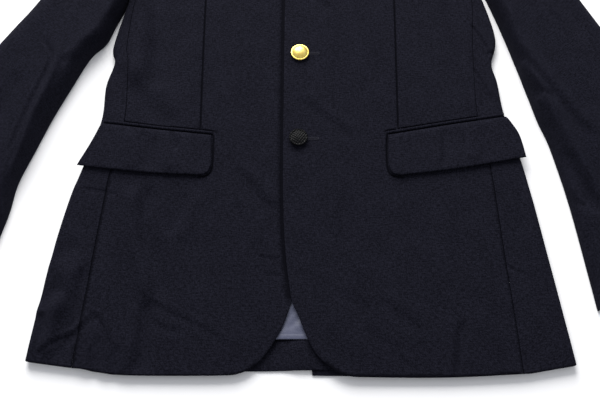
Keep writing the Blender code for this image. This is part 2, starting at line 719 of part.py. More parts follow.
def lapel(side):
    """Lapel: turns over the front along the roll line and lies on it."""
    sign = SIDES[side]
    edge = curve(LAPEL_EDGE, SECTION_STEP)
    outer, inner = [], []
    start = np.array(LAPEL_START)
    for index, free in enumerate(edge):
        share = index / (len(edge) - 1)
        roll = start + (np.array(GORGE) - start) * share
        width = float(np.linalg.norm(free - roll))
        across = (free - roll) / width
        levels = dict(zip(("bottom", "top"), front_wall(side, sign * roll[0], roll[1])))
        upper = [(reach, levels[level] + above) for (reach, level, above), _ in LAPEL_ROLL]
        lower = [(reach, levels[level] + above) for _, (reach, level, above) in LAPEL_ROLL]
        for share_across in (0.25, 0.5, 0.75, 1.0):
            reach = width * share_across
            x, y = roll + across * reach
            level = front_wall(side, sign * x, y)[1]
            upper.append((reach, level + LAYER_GAP + LAPEL_CLOTH))
            lower.append((reach, level + LAYER_GAP))
        for grid, ring in ((outer, upper), (inner, lower)):
            grid.append([(sign * (roll[0] + across[0] * d), roll[1] + across[1] * d, z) for d, z in ring])
    return wall(f"lapel_{side}", "navy_wool", outer, inner)


def collar_row(foot_x, foot_y, fold_x, fold_y, edge_x, edge_y, turn):
    """Middle points across the collar: up the stand, round the fold and down the fall."""
    turn = min(max(turn, -1.0), 1.0)
    foot, fold, edge = (np.array(point) for point in ((foot_x, foot_y), (fold_x, fold_y), (edge_x, edge_y)))
    outward = (edge - fold) / np.linalg.norm(edge - fold)
    tip = (fold - foot) / np.linalg.norm(fold - foot)

    def stand_level(x, y):
        if turn > 0:
            above = front_top("left", x, y) - FRONT_CLOTH / 2
            return COLLAR_SIDE_HEIGHT + (above - COLLAR_SIDE_HEIGHT) * turn
        beneath = COLLAR_FLOOR + FOLD_GAP
        return COLLAR_SIDE_HEIGHT + (beneath - COLLAR_SIDE_HEIGHT) * -turn

    def fall_level(x, y):
        if turn > 0:
            above = front_top("left", x, y) + LAYER_GAP + COLLAR_CLOTH / 2
            return COLLAR_SIDE_HEIGHT + (above - COLLAR_SIDE_HEIGHT) * turn
        return COLLAR_SIDE_HEIGHT + (COLLAR_FLOOR - COLLAR_SIDE_HEIGHT) * -turn

    beside = fold + outward * FOLD_GAP * math.sqrt(1 - turn * turn)
    low, high = stand_level(*fold), fall_level(*fold)
    crest = (fold + beside) / 2 + tip * FOLD_GAP / 2
    row = [(*foot, stand_level(*foot)), (*((foot + fold) / 2), stand_level(*fold))]
    row += [(*fold, low), (*crest, (low + high) / 2), (*beside, high)]
    for share in (0.33, 0.67, 1.0):
        point = beside + (edge - beside) * share
        row.append((*point, fall_level(*point)))
    return row


def collar():
    """Collar: folded over on the fronts, round the shoulder seams and beneath the back of the neck."""
    half = curve(COLLAR_SECTIONS, SECTION_STEP)
    rows = [collar_row(*section) for section in half]
    rows += [[(-x, y, z) for x, y, z in row] for row in reversed(rows[:-1])]
    return ribbon("collar", "navy_wool", rows, COLLAR_CLOTH)


def sleeve_sections(side):
    """Sleeve sections with their armhole bend: inner point, outer point, height, ridge, bend."""
    sections, travelled, before = [], 0.0, None
    for row in curve(SLEEVE_SECTIONS[side], SECTION_STEP):
        inner, outer = row[0:2], row[2:4]
        if inner[1] < ARMPIT_Y:
            inner[0] = max(inner[0], fold_distance(side, inner[1]) + SLEEVE_CLEARANCE)
        middle = (inner + outer) / 2
        if before is not None:
            travelled += float(np.linalg.norm(middle - before))
        before = middle
        sections.append((inner, outer, row[4], row[5], 1 - ease(travelled / SLEEVE_HEAD_REACH)))
    return sections


def across_sleeve(section, reach):
    """Plan point of a section at a distance from its inner edge."""
    inner, outer, _, _, bend = section
    share = reach / float(np.linalg.norm(outer - inner))
    x, y = inner + (outer - inner) * share
    head_y = SLEEVE_HEAD[0][0] + (SLEEVE_HEAD[-1][0] - SLEEVE_HEAD[0][0]) * share
    head_x = float(np.interp(head_y, [row[0] for row in SLEEVE_HEAD], [row[1] for row in SLEEVE_HEAD]))
    straight_x = SLEEVE_HEAD[0][1] + (SLEEVE_HEAD[-1][1] - SLEEVE_HEAD[0][1]) * share
    return x + (head_x - straight_x) * bend, y


def sleeve_height(reach, width, height, ridge):
    """Height of the sleeve's top at a distance from its inner edge."""
    sides = quarter_round(reach / ridge) * quarter_round((width - reach) / SLEEVE_OUTER_ROUND)
    crest = RIDGE_HEIGHT * math.exp(-(((reach - ridge) / RIDGE_WIDTH) ** 2))
    sag = MID_SLEEVE_SAG * math.sin(math.pi * min(max((reach - ridge) / (width - ridge), 0.0), 1.0))
    return SLEEVE_RIM + (height - SLEEVE_RIM + crest - sag) * sides


def top_sleeve(side):
    """Upper sleeve: a hollow arch that stands on its two edges, open at the armhole and the cuff."""
    sign = SIDES[side]
    outer_grid, inner_grid = [], []
    for section in sleeve_sections(side):
        inner, outer, height, ridge, _ = section
        width = float(np.linalg.norm(outer - inner))
        flat = width - SLEEVE_OUTER_ROUND
        reaches = [0.0, SLEEVE_RIM, 0.4 * ridge, ridge]
        reaches += [ridge + (flat - ridge) * share for share in (0.35, 0.7, 1.0)]
        reaches += [width - 0.4 * SLEEVE_OUTER_ROUND, width - SLEEVE_RIM, width]
        upper, lower = [], []
        for reach in reaches:
            x, y = across_sleeve(section, reach)
            top = sleeve_height(reach, width, height, ridge)
            hollow = 0.0
            if SLEEVE_RIM < reach < width - SLEEVE_RIM:
                narrow = sleeve_height(reach - SLEEVE_RIM, width - 2 * SLEEVE_RIM, height, ridge - SLEEVE_RIM)
                hollow = narrow - SLEEVE_CLOTH
            upper.append((sign * x, y, top))
            lower.append((sign * x, y, hollow))
        outer_grid.append(upper)
        inner_grid.append(lower)
    return wall(f"top_sleeve_{side}", "navy_wool", outer_grid, inner_grid)


def under_sleeve(side):
    """Under sleeve: the strip on the floor between the edges of the upper sleeve."""
    sign = SIDES[side]
    upper, lower = [], []
    for section in sleeve_sections(side)[::2]:
        width = float(np.linalg.norm(section[1] - section[0]))
        span = width - 2 * UNDER_SLEEVE_INSET
        reaches = [UNDER_SLEEVE_INSET + span * share for share in (0.0, 0.15, 0.5, 0.85, 1.0)]
        row = [across_sleeve(section, reach) for reach in reaches]
        upper.append([(sign * x, y, UNDER_SLEEVE_CLOTH) for x, y in row])
        lower.append([(sign * x, y, 0.0) for x, y in row])
    return wall(f"under_sleeve_{side}", "navy_wool", upper, lower)


def buttons():
    for name, x, y, profile, slot in BUTTONS:
        turned(name, slot, x, y, front_top("left", x, y) + BUTTON_GAP, profile)


def build():
    for leftover in list(bpy.data.objects):
        bpy.data.objects.remove(leftover)
    for side in SIDES:
        back(side)
        side_panel(side)
        front(side)
        lapel(side)
        flap(side)
        welt(side)
        top_sleeve(side)
        under_sleeve(side)
    lining()
    collar()
    buttons()


build()
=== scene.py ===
"""Single-breasted wool blazer laid on its back, front up: its cloth, sewing, buttons and finish.

Lengths are millimetres until a mesh is made. In the tables x runs from the centre line, y runs up the
garment from the hem line, and z is the height above the floor. Right and left are the wearer's, so the
right side has negative x. The left front closes over the right one.
"""
import functools
import math
from collections import namedtuple

import bpy
import numpy as np
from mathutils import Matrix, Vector
from mathutils.geometry import delaunay_2d_cdt


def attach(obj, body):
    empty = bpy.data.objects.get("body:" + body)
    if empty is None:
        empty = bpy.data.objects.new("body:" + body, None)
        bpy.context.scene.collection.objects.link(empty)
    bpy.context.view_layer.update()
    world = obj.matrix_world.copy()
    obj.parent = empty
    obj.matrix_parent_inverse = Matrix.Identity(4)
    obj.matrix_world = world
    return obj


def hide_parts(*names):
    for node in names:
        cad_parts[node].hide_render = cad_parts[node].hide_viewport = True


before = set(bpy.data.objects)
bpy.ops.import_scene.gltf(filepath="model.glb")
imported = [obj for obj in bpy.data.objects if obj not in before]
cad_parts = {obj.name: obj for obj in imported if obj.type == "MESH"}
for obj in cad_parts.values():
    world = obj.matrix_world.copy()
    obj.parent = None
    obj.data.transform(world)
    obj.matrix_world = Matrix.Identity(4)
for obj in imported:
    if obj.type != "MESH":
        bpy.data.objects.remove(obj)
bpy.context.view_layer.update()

METRES = 0.001
SIDES = {"right": -1, "left": 1}
MIDDLE = np.array((-17.0, 387.3))    # middle of the garment's plan

# Cloth walls
FRONT_CLOTH = 2.2
BACK_CLOTH = 1.0
LINING_CLOTH = 1.0
SLEEVE_CLOTH = 2.2
UNDER_SLEEVE_CLOTH = 1.2
COLLAR_CLOTH = 2.0
LAPEL_CLOTH = 2.0
FLAP_CLOTH = 2.4
WELT_CLOTH = 1.2
SEAM_GAP = 0.3                       # between sewn edges
MOUTH_GAP = 1.1                      # between a pocket flap and its welt
UNDERARM_GAP = 1.2
LAYER_GAP = 0.6
EDGE_ROWS = (0.1, 0.3, 0.75)         # rows of points that round the edge of a cloth
INNER_RING = len(EDGE_ROWS) + 1      # points of a net that lie within those rows

# Heights of the layers. A pair of numbers says where a height begins to change and where it has changed.
BODY_HEIGHT = 9.0
HEM_DROP = 1.2                       # the fronts sink towards the hem
HEM_DROP_REACH = (0.0, 40.0)
SHOULDER_RISE = 5.0                  # shoulder pads under the fronts
PAD_ALONG = (500.0, 680.0)
PAD_ACROSS = (30.0, 140.0)
PAD_SHARE = 0.9                      # of that rise, filled by the front itself
SHOULDER_EDGE_TOP = 7.0
SHOULDER_EDGE_BOTTOM = 4.4
SHOULDER_ROUND = 13.0
UNDER_FRONT_DIP = 2.1                # the right front lies lower where the left one closes over it
UNDER_FRONT_REACH = (-80.0, -28.0)
OVER_FRONT_LIFT = 0.6
OVER_FRONT_REACH = (20.0, 110.0)
BREAK_LIFT = 2.6                     # where the lapel turns over
BREAK_REACH = (440.0, 485.0)
OVERLAP_END = (560.0, 640.0)         # above this both fronts lie level
TURN_UP = 34.2                       # upper edge of the back's turned-up hem
TURN_UP_EDGE = (TURN_UP - 0.4, TURN_UP + 0.4)
TURN_UP_ROWS = (TURN_UP - 0.5, TURN_UP, TURN_UP + 0.5)
TURN_UP_CLOTH = 0.8
TURN_UP_REACH = (TURN_UP + 8.0, TURN_UP + 33.0)
VENT_LIFT = 1.3                      # of the right back half over the left one
VENT_TOP = 232.0
VENT_END = (VENT_TOP, VENT_TOP + 50.0)
VENT_SHOULDER = 12.0
VENT_UNDERLAP_X = 35.0
VENT_SLOPE = (-24.0, -1.0)
NECK_LIFT = 2.4                      # the collar's fall lies beneath the back of the neck
NECK_LIFT_ALONG = (645.0, 713.0)
NECK_LIFT_ACROSS = (122.0, 182.0)
LINING_FOOT = TURN_UP + 0.75
LINING_FLOOR = 1.8
LINING_OVER_VENT = 1.6
LINING_RIGHT_SLOPE = (-85.0, -25.0)
LINING_LEFT_SLOPE = (45.0, 105.0)
LINING_END_SLOPE = (245.0, 305.0)
LINING_SIDE_INSET = 3.0
LINING_ARMHOLE_INSET = 16.0
LINING_SHOULDER_INSET = 14.0
LINING_NECK_INSET = 3.5
LINING_PLEAT = 0.16
LINING_PLEAT_Y = 39.4                # upper edge of the folded band at the lining's foot
LINING_PLEAT_EDGE = (LINING_PLEAT_Y - 0.5, LINING_PLEAT_Y + 0.4)
LINING_CREASES_BEGIN = (LINING_PLEAT_Y, LINING_PLEAT_Y + 8.0)
LINING_PLEAT_ROWS = LINING_PLEAT_Y + np.array((-0.7, -0.2, 0.3, 0.8))
LINING_PLEAT_REACH = 70.0            # the rows run this far on both sides of the centre line
LINING_CREASE_STEP = 2.5
LINING_CREASE_ROWS = np.arange(42.0, 104.0, LINING_CREASE_STEP)
LINING_CREASE_REACH = 60.0
THINNEST_LINING = 0.1
CREASE_END = 0.16                    # share of a crease over which each end dies out
FALL_STEEPNESS = 1.6                 # of a crease's fall, across its line
DEEPEST = 3.4                        # room for a crease above the layer below
MARGIN = 4.0                         # rows and hems stop this short of a corner

# Seams and edges
BACK_SEAM_INSET = 45.0
ARMPIT_Y = 545.0
SHOULDER_TIP = (208.0, 718.0)
NECK_POINT = (86.9, 758.2)
BREAK = (-20.5, 495.0)               # foot of the roll line
GORGE = (62.0, 722.0)                # its head, at the seam with the collar
BACK_NECK = (0.0, 738.0)
SLEEVE_CLEARANCE = 1.0
SLEEVE_OUTER_ROUND = 24.0
UNDER_SLEEVE_INSET = 4.3             # it lies within the walls of the top sleeve

# Side edge, hem to armpit: height y, distance of the side fold, distance of the seam to the front
SIDE_EDGE = {
    "right": (
        (12.8, 274.9, 227.6),
        (75.0, 267.4, 221.7),
        (135.0, 259.0, 216.1),
        (190.0, 248.4, 210.8),
        (218.0, 240.4, 207.8),
        (280.0, 224.0, 197.5),
        (325.0, 222.5, 198.0),
        (356.0, 215.3, 199.0),
        (378.0, 218.6, 202.0),
        (439.0, 205.3, 196.5),
        (490.0, 190.0, 182.0),
        (ARMPIT_Y, 178.0, 170.0),
    ),
    "left": (
        (8.8, 269.5, 215.8),
        (120.0, 254.0, 208.5),
        (222.0, 239.0, 202.5),
        (286.0, 224.5, 193.5),
        (330.0, 220.0, 193.8),
        (354.7, 215.8, 194.4),
        (388.0, 223.2, 196.0),
        (439.0, 213.5, 199.0),
        (490.0, 197.0, 187.0),
        (ARMPIT_Y, 178.0, 170.0),
    ),
}
HEM_SLANT = {"right": 0.135, "left": 0.17}    # drop of the hem for each millimetre in from the side fold
HEM_SLANT_REACH = 60.0

# Front edge and hem, from the foot of the roll line down and out to the side panel: x, y
FRONT_EDGE = {
    "right": (
        (20.5, 495.0),
        (20.0, 350.0),
        (18.0, 185.0),
        (4.0, 112.0),
        (-10.6, 76.3),
        (-18.0, 54.5),
        (-26.0, 37.1),
        (-37.2, 19.8),
        (-50.3, 6.8),
        (-62.0, 0.6),
        (-80.0, -1.8),
        (-150.0, -2.0),
        (-189.0, -0.5),
    ),
    "left": (
        BREAK,
        (-21.5, 357.0),
        (-21.0, 173.0),
        (-13.6, 84.7),
        (-4.6, 57.5),
        (3.2, 37.0),
        (12.3, 20.0),
        (26.5, 6.0),
        (42.0, -1.8),
        (66.0, -3.6),
        (143.7, -3.8),
    ),
}
# Left side; the right side mirrors these
ARMHOLE = ((172.0, 575.0), (176.5, 620.0), (190.0, 665.0), SHOULDER_TIP)
SHOULDER_SEAM = (SHOULDER_TIP, (150.0, 738.5), NECK_POINT)
FRONT_NECK = (NECK_POINT, (82.3, 750.0), (75.0, 737.0), (67.0, 724.5), (66.0, 722.2), GORGE)
BACK_NECK_SEAM = (NECK_POINT, (72.0, 748.5), (40.0, 740.8), BACK_NECK)
CENTRE_BACK = ((8.6, -0.8), (3.0, VENT_TOP), BACK_NECK)
BACK_HEM = {
    "right": ((VENT_UNDERLAP_X, 4.6), (-40.0, 3.4), (-80.0, 3.2), (-150.0, 2.0)),
    "left": ((8.6, -0.8), (60.0, -1.4), (150.0, -1.6)),
}
LAPEL_START = (BREAK[0] + 1.6, BREAK[1] + 4.5)    # the lapel begins a little up the roll line
LAPEL_EDGE = ((-13.5, 499.5), (22.5, 525.6), (63.2, 567.2), (100.1, 616.1), (123.9, 652.2), (138.2, 676.8))

# Grooves in the fronts: darts, seams of the pocket welts, and the line pressed by the front edge above.
# Shade is also painted into the wool's colour along each of them.
# Half width, depth, line
GROOVES = {
    "right": (
        (0.9, 1.9, ((-112.8, 266.0), (-113.7, 330.0), (-114.3, 425.0), (-113.5, 505.0))),
        (0.8, 1.9, ((-97.8, 266.4), (-160.0, 273.2), (-219.0, 280.8))),
        (0.8, 1.9, ((-99.5, 262.1), (-160.0, 268.9), (-219.5, 276.4))),
        (1.0, 1.4, ((-98.0, 261.0), (-98.1, 225.0), (-102.0, 214.3), (-112.0, 211.2))),
        (2.4, 1.2, ((-22.1, 480.0), (-22.9, 357.0), (-22.4, 173.0), (-15.2, 86.0), (-13.4, 80.0))),
    ),
    "left": (
        (0.9, 1.9, ((104.8, 268.0), (106.2, 340.0), (107.9, 439.0), (108.5, 508.0))),
        (0.8, 1.9, ((90.0, 266.6), (160.0, 278.8), (221.5, 289.2))),
        (0.8, 1.9, ((92.0, 262.2), (160.0, 274.5), (222.0, 284.8))),
        (0.9, 1.6, ((91.8, 261.0), (91.2, 223.6), (95.0, 213.4), (105.0, 210.8))),
    ),
}
GROOVE_ROWS = (-2.4, -1.3, -0.7, 0.0, 0.7, 1.3, 2.4)
GROOVE_START = 0.03                  # shares of a groove over which its two ends die out
GROOVE_END = 0.1
# Edges of the fronts with painted shade, where no groove is cut: half width, and the groove depth whose
# shade is painted
SIDE_SEAM_SHADE = {"right": (1.4, 1.5), "left": (0.8, 1.1)}
HEM_SHADE = {"right": (0.9, 0.8), "left": (1.6, 1.3)}
SEAM_SHADE_END = 264.0               # the flap covers the seam here
HEM_SHADE_END = 10.0                 # and the hem turns up into the front edge here
EDGE_LINE_STEP = 8                   # points of an edge for each point of its painted shade line
FULL_SHADE_DEPTH = 2.2                 # from this depth on, the painted shade of a groove is full
PAINTED_SHADE_STRENGTH = 0.3                     # how far painted shade then takes a cloth down its colours
CRISP = 3.5                          # creases narrower than this get rows of their own
CRISP_ROWS = (-1.6, -0.8, 0.0, 0.8, 1.6)
ROW_MARGIN = 1.2                     # such rows keep this far from the edge

# Creases of the fronts and side panels, drawn up the garment or from the viewer's left to right:
# half width, height along the line (a trough is negative), fall towards the right of its run, line
CREASES = {
    "right": (
        (11.0, -0.6, 6.4, ((-148.5, 68.9), (-152.9, 88.9), (-158.5, 110.4), (-166.2, 132.2),
                           (-171.1, 155.6), (-172.7, 178.4), (-171.7, 207.5))),
        (3.4, -0.4, 1.1, ((-165.8, 84.7), (-146.6, 70.0), (-132.0, 61.6), (-113.5, 53.4),
                          (-96.0, 44.2), (-80.7, 34.0), (-66.5, 23.0))),
        (4.4, -0.5, 1.2, ((-171.4, 78.3), (-158.1, 61.6), (-147.4, 51.3), (-135.0, 45.2), (-117.0, 44.2))),
        (8.5, -2.2, 4.2, ((-166.2, -2.7), (-164.1, 21.0), (-161.9, 45.2), (-161.2, 76.2))),
        (4.2, -0.5, 2.4, ((-241.1, 30.0), (-228.3, 41.1), (-219.4, 51.3), (-212.1, 58.5), (-205.5, 62.7))),
        (3.2, -1.2, -2.2, ((-188.0, 24.0), (-196.3, 39.1), (-202.5, 52.4), (-213.7, 64.8))),
        (5.0, -1.4, 1.8, ((-209.9, -4.7), (-208.7, 13.0), (-207.3, 29.0), (-205.4, 40.1))),
        (4.5, -1.2, 0.6, ((-189.3, -6.6), (-187.9, 11.0), (-185.3, 27.0))),
        (6.5, 0.6, 2.4, ((-237.1, 21.0), (-233.4, 51.3), (-229.6, 82.6), (-225.3, 121.2))),
        (10.0, 2.6, 4.4, ((-254.7, 11.0), (-248.1, 31.0), (-243.1, 57.5), (-237.2, 86.8),
                          (-232.9, 114.7))),
        (13.0, 0.6, -4.2, ((-270.9, 63.7), (-260.6, 70.0), (-250.1, 75.2), (-238.3, 78.3))),
        (12.0, 0.3, -2.2, ((-262.0, 108.2), (-250.7, 116.9), (-239.0, 123.4), (-229.1, 127.8))),
        (2.8, -1.4, 1.5, ((-266.1, 16.0), (-257.3, 25.0), (-247.2, 32.0), (-236.0, 38.1), (-223.5, 42.1))),
        (8.0, -0.3, 2.1, ((-70.3, 226.5), (-56.9, 207.5), (-45.9, 193.5), (-36.2, 181.9), (-28.7, 173.8))),
        (6.0, -0.3, -1.4, ((-54.1, 131.1), (-58.9, 156.8), (-67.0, 184.2))),
        (2.2, -0.5, 0.8, ((-48.8, 123.4), (-36.3, 121.2), (-23.9, 119.1))),
        (2.2, -0.3, 0.6, ((-42.2, 103.9), (-33.0, 102.8), (-22.8, 101.7))),
        (14.0, -0.6, 1.8, ((-206.5, 358.2), (-185.7, 323.9), (-168.7, 305.8), (-152.2, 291.8),
                           (-135.8, 276.7))),
        (18.0, -0.6, 7.0, ((-176.2, 316.1), (-174.6, 358.2), (-173.4, 392.0), (-177.5, 433.9),
                           (-185.7, 484.6))),
        (2.2, -0.6, 0.9, ((-236.4, 200.5), (-225.4, 197.0), (-212.4, 195.8), (-194.9, 190.0))),
        (10.0, 0.6, -2.0, ((-136.5, 138.9), (-125.4, 163.6), (-118.4, 193.5))),
        (12.0, 1.4, -1.3, ((-150.0, 470.0), (-142.0, 520.0), (-150.0, 580.0), (-165.0, 640.0))),
    ),
    "left": (
        (7.0, -0.4, 1.0, ((77.8, 79.4), (89.5, 68.9), (102.1, 58.5), (115.6, 48.3), (126.2, 42.1))),
        (6.5, -0.6, 0.9, ((40.2, 127.8), (38.6, 152.3), (34.8, 178.4))),
        (8.5, -0.3, 0.9, ((33.3, 87.8), (46.3, 78.3), (57.3, 72.0), (71.2, 65.8))),
        (5.2, -1.4, 2.6, ((148.8, -4.7), (151.2, 16.0), (153.6, 35.0), (157.1, 55.4))),
        (5.0, -0.3, 0.8, ((62.6, 48.3), (74.3, 40.1), (85.0, 32.0), (97.4, 23.0))),
        (3.2, -0.3, 0.9, ((89.5, 23.0), (99.0, 14.0), (109.3, 5.1))),
        (6.0, -0.2, 0.5, ((149.7, 79.4), (156.2, 127.8), (158.7, 178.4))),
        (7.5, -0.5, 1.4, ((-5.5, 313.5), (12.3, 296.9), (27.7, 284.2), (41.9, 273.0), (58.0, 256.9))),
        (2.8, 1.1, 0.3, ((149.7, 339.6), (155.4, 322.6), (160.1, 308.4), (164.6, 293.1))),
        (6.0, -0.6, -1.6, ((187.0, 352.8), (181.4, 385.2), (175.4, 415.6), (170.5, 446.7))),
        (2.4, -0.9, 1.9, ((195.9, 408.6), (204.0, 393.4), (210.9, 379.7), (218.5, 360.8))),
        (2.4, -0.7, 1.6, ((194.7, 350.2), (201.3, 333.0), (207.8, 317.4), (215.3, 300.7))),
        (2.0, -0.5, 1.2, ((194.7, 335.6), (203.3, 317.4), (214.1, 299.4))),
        (2.2, -0.5, 0.9, ((207.6, 112.5), (215.4, 108.2), (223.3, 105.0), (230.0, 100.7))),
        (7.0, 0.5, -1.2, ((244.9, 43.2), (243.6, 84.7), (241.1, 127.8), (237.3, 170.4), (236.3, 201.6))),
        (5.6, -0.6, 1.6, ((-0.9, 461.2), (18.0, 446.7), (34.3, 426.8))),
        (12.0, 1.4, 1.3, ((150.0, 470.0), (144.0, 520.0), (152.0, 580.0), (168.0, 640.0))),
    ),
}
# The same of the sleeves
SLEEVE_CREASES = {
    "right": (
        (7.0, 0.6, 2.8, ((-317.7, 175.5), (-310.1, 204.1), (-303.5, 226.4), (-296.9, 250.3),
                         (-291.3, 274.7), (-285.3, 297.1), (-279.8, 316.1), (-274.5, 338.0),
                         (-271.2, 359.0), (-271.3, 380.4))),
        (7.0, 0.0, 1.4, ((-276.8, 348.5), (-266.0, 352.4), (-255.2, 356.4), (-244.4, 361.7),
                         (-236.4, 372.3), (-229.7, 385.8), (-223.0, 399.4))),
        (3.4, 0.5, -2.0, ((-315.2, 203.0), (-309.6, 224.0), (-302.3, 250.3), (-296.7, 274.7),
                          (-289.8, 298.4), (-283.4, 318.7), (-278.1, 340.7), (-275.7, 359.0))),
        (3.0, -1.0, 2.0, ((-320.2, 224.0), (-310.8, 257.6), (-303.6, 285.9), (-294.9, 313.6),
                          (-288.4, 332.9), (-284.8, 349.8), (-288.7, 364.3), (-301.1, 383.1))),
        (11.2, -2.4, 0.9, ((-352.0, 196.0), (-346.0, 240.0), (-334.0, 290.0), (-320.0, 340.0))),
        (9.0, 1.4, 0.9, ((-368.0, 220.0), (-362.0, 268.0), (-346.0, 320.0))),
        (12.0, 1.8, 0.9, ((-372.0, 330.0), (-350.0, 366.0), (-328.0, 404.0), (-306.0, 446.0))),
        (7.5, -2.4, 1.6, ((-318.0, 455.0), (-300.0, 470.0), (-276.0, 482.0), (-252.0, 500.0))),
        (9.0, -2.7, 1.6, ((-262.0, 560.0), (-240.0, 566.0), (-214.0, 560.0), (-196.0, 556.0))),
        (9.0, -2.1, 1.5, ((-408.0, 150.0), (-380.0, 168.0), (-352.0, 176.0), (-330.0, 190.0))),
    ),
    "left": (
        (6.0, -1.0, 5.0, ((240.9, 351.0), (247.5, 337.9), (254.1, 326.1), (260.8, 315.8), (268.3, 303.0))),
        (7.0, 0.6, 3.4, ((242.0, 376.4), (256.1, 348.5), (269.3, 326.3), (283.4, 304.6),
                         (298.0, 280.8), (315.9, 251.3))),
        (9.5, -0.6, 4.6, ((255.3, 304.5), (264.1, 294.4), (271.1, 279.4), (279.4, 257.3),
                          (290.0, 229.5), (301.1, 200.2), (313.2, 165.9))),
        (6.5, -0.6, 2.8, ((283.3, 245.1), (294.9, 217.7), (303.5, 194.4), (314.6, 161.4))),
        (3.4, -0.5, 1.4, ((288.4, 418.7), (295.7, 402.1), (301.0, 380.4))),
        (3.4, -0.5, 1.4, ((275.7, 212.8), (282.2, 196.4), (288.9, 182.6), (298.2, 173.5))),
        (11.2, 2.4, 1.2, ((352.0, 150.0), (346.0, 200.0), (336.0, 250.0), (318.0, 300.0))),
        (12.0, -2.7, 0.9, ((352.0, 320.0), (330.0, 372.0), (310.0, 412.0), (290.0, 456.0))),
        (7.5, -2.1, -1.6, ((252.0, 500.0), (276.0, 486.0), (300.0, 470.0), (322.0, 452.0))),
        (9.0, -2.7, -1.6, ((196.0, 556.0), (214.0, 560.0), (240.0, 566.0), (262.0, 560.0))),
        (8.2, -1.8, 1.8, ((300.0, 118.0), (322.0, 128.0), (350.0, 126.0), (380.0, 118.0))),
    ),
}
# The same of the pocket flaps and the lining
FLAP_CREASES = {
    "right": (
        (3.2, -2.4, 1.8, ((-147.2, 271.4), (-142.2, 261.5), (-138.5, 252.9), (-134.6, 241.9))),
        (9.0, 0.3, 2.4, ((-176.0, 215.6), (-176.4, 235.9), (-180.0, 254.1), (-183.3, 268.9))),
        (10.0, 0.5, -1.8, ((-148.0, 213.2), (-152.9, 239.5), (-156.5, 261.5))),
    ),
    "left": (
        (4.5, -0.6, 1.8, ((147.2, 220.3), (150.6, 239.5), (151.9, 259.0), (151.6, 271.4))),
        (10.0, 0.5, 1.5, ((190.8, 227.5), (190.4, 249.2), (191.1, 271.4))),
    ),
}
LINING_CREASES = (
    (4.0, -0.3, 0.9, ((-34.0, 40.0), (-22.0, 52.0), (-14.0, 61.0), (-5.0, 71.0), (6.0, 84.0))),
    (3.5, -0.2, 0.8, ((-18.0, 46.0), (-8.0, 57.0), (0.0, 64.0), (8.0, 68.0))),
    (5.0, 0.5, 0.8, ((-30.0, 56.0), (-18.0, 70.0), (-10.0, 84.0))),
    (4.5, -0.2, 0.9, ((-4.0, 40.0), (4.0, 50.0), (12.0, 56.0), (22.0, 60.0))),
)

# Sleeve sections, armhole to cuff: inner edge x, y, outer edge x, y, height, ridge from the inner edge
SLEEVE_SECTIONS = {
    "right": (
        (181.0, 547.0, 208.6, 718.6, 14.0, 24.0),
        (185.0, 529.0, 222.0, 685.0, 18.0, 22.0),
        (191.0, 500.0, 240.0, 635.0, 22.0, 19.0),
        (200.0, 465.0, 262.0, 570.0, 25.0, 12.0),
        (208.0, 436.0, 282.0, 512.0, 26.0, 10.0),
        (219.0, 408.0, 299.0, 466.0, 26.0, 10.0),
        (228.0, 384.0, 315.0, 431.0, 26.0, 12.0),
        (244.5, 364.6, 334.5, 400.0, 26.0, 13.0),
        (262.5, 325.0, 355.0, 368.0, 25.0, 13.5),
        (279.5, 285.2, 376.0, 330.0, 24.0, 14.0),
        (294.0, 245.0, 395.0, 286.0, 23.0, 15.0),
        (307.5, 206.4, 411.0, 241.0, 21.0, 16.0),
        (312.5, 172.8, 424.0, 200.0, 19.0, 16.0),
        (319.0, 144.5, 435.0, 168.0, 17.0, 16.0),
        (332.0, 78.0, 458.0, 112.0, 13.0, 16.0),
    ),
    "left": (
        (181.0, 547.0, 208.6, 718.6, 14.0, 24.0),
        (187.0, 529.0, 222.0, 685.0, 18.0, 22.0),
        (196.0, 503.0, 240.0, 638.0, 22.0, 20.0),
        (211.0, 466.0, 262.0, 580.0, 24.0, 15.0),
        (223.0, 430.0, 288.0, 522.0, 25.0, 12.0),
        (232.5, 397.7, 313.0, 470.0, 25.0, 11.0),
        (242.5, 360.0, 337.0, 423.0, 24.0, 11.0),
        (252.8, 318.2, 360.0, 377.0, 24.0, 11.5),
        (261.5, 282.0, 379.0, 335.0, 23.0, 12.0),
        (270.0, 255.5, 393.0, 293.0, 22.0, 13.0),
        (277.0, 222.0, 403.0, 250.0, 21.0, 17.0),
        (283.0, 189.0, 411.0, 208.0, 19.0, 17.0),
        (288.5, 150.0, 418.0, 165.0, 17.0, 17.0),
        (299.0, 64.7, 424.0, 92.0, 13.0, 17.0),
    ),
}
Section = namedtuple("Section", "inner outer width height ridge bend")
SLEEVE_HEAD = (
    (181.0, 547.0), (175.5, 558.0), (173.2, 575.0), (177.6, 620.0), (191.0, 665.0), (208.6, 718.6))
HEAD_GAP = 0.1                       # between the sleeve's head and the front
HEAD_END_Y = 714.0                   # the front leaves the head here for the shoulder's tip
SLEEVE_HEAD_REACH = 75.0             # the armhole's bend dies out along this much of the sleeve
SLEEVE_EVENING = 11                  # sections on each side that even out a height
PLAN_EVENING = 3                     # and a plan
RIDGE_HEIGHT = 0.4                   # crest where a sleeve's inner side turns over to its top
RIDGE_WIDTH = 9.0
MID_SLEEVE_SAG = 2.0
SLEEVE_FOOT = 8.0                    # below this height its creases die out
INNER_EDGE_POINTS = 13
SLEEVE_TOP_POINTS = 34
OUTER_EDGE_POINTS = 11
UNDER_SLEEVE_POINTS = 14

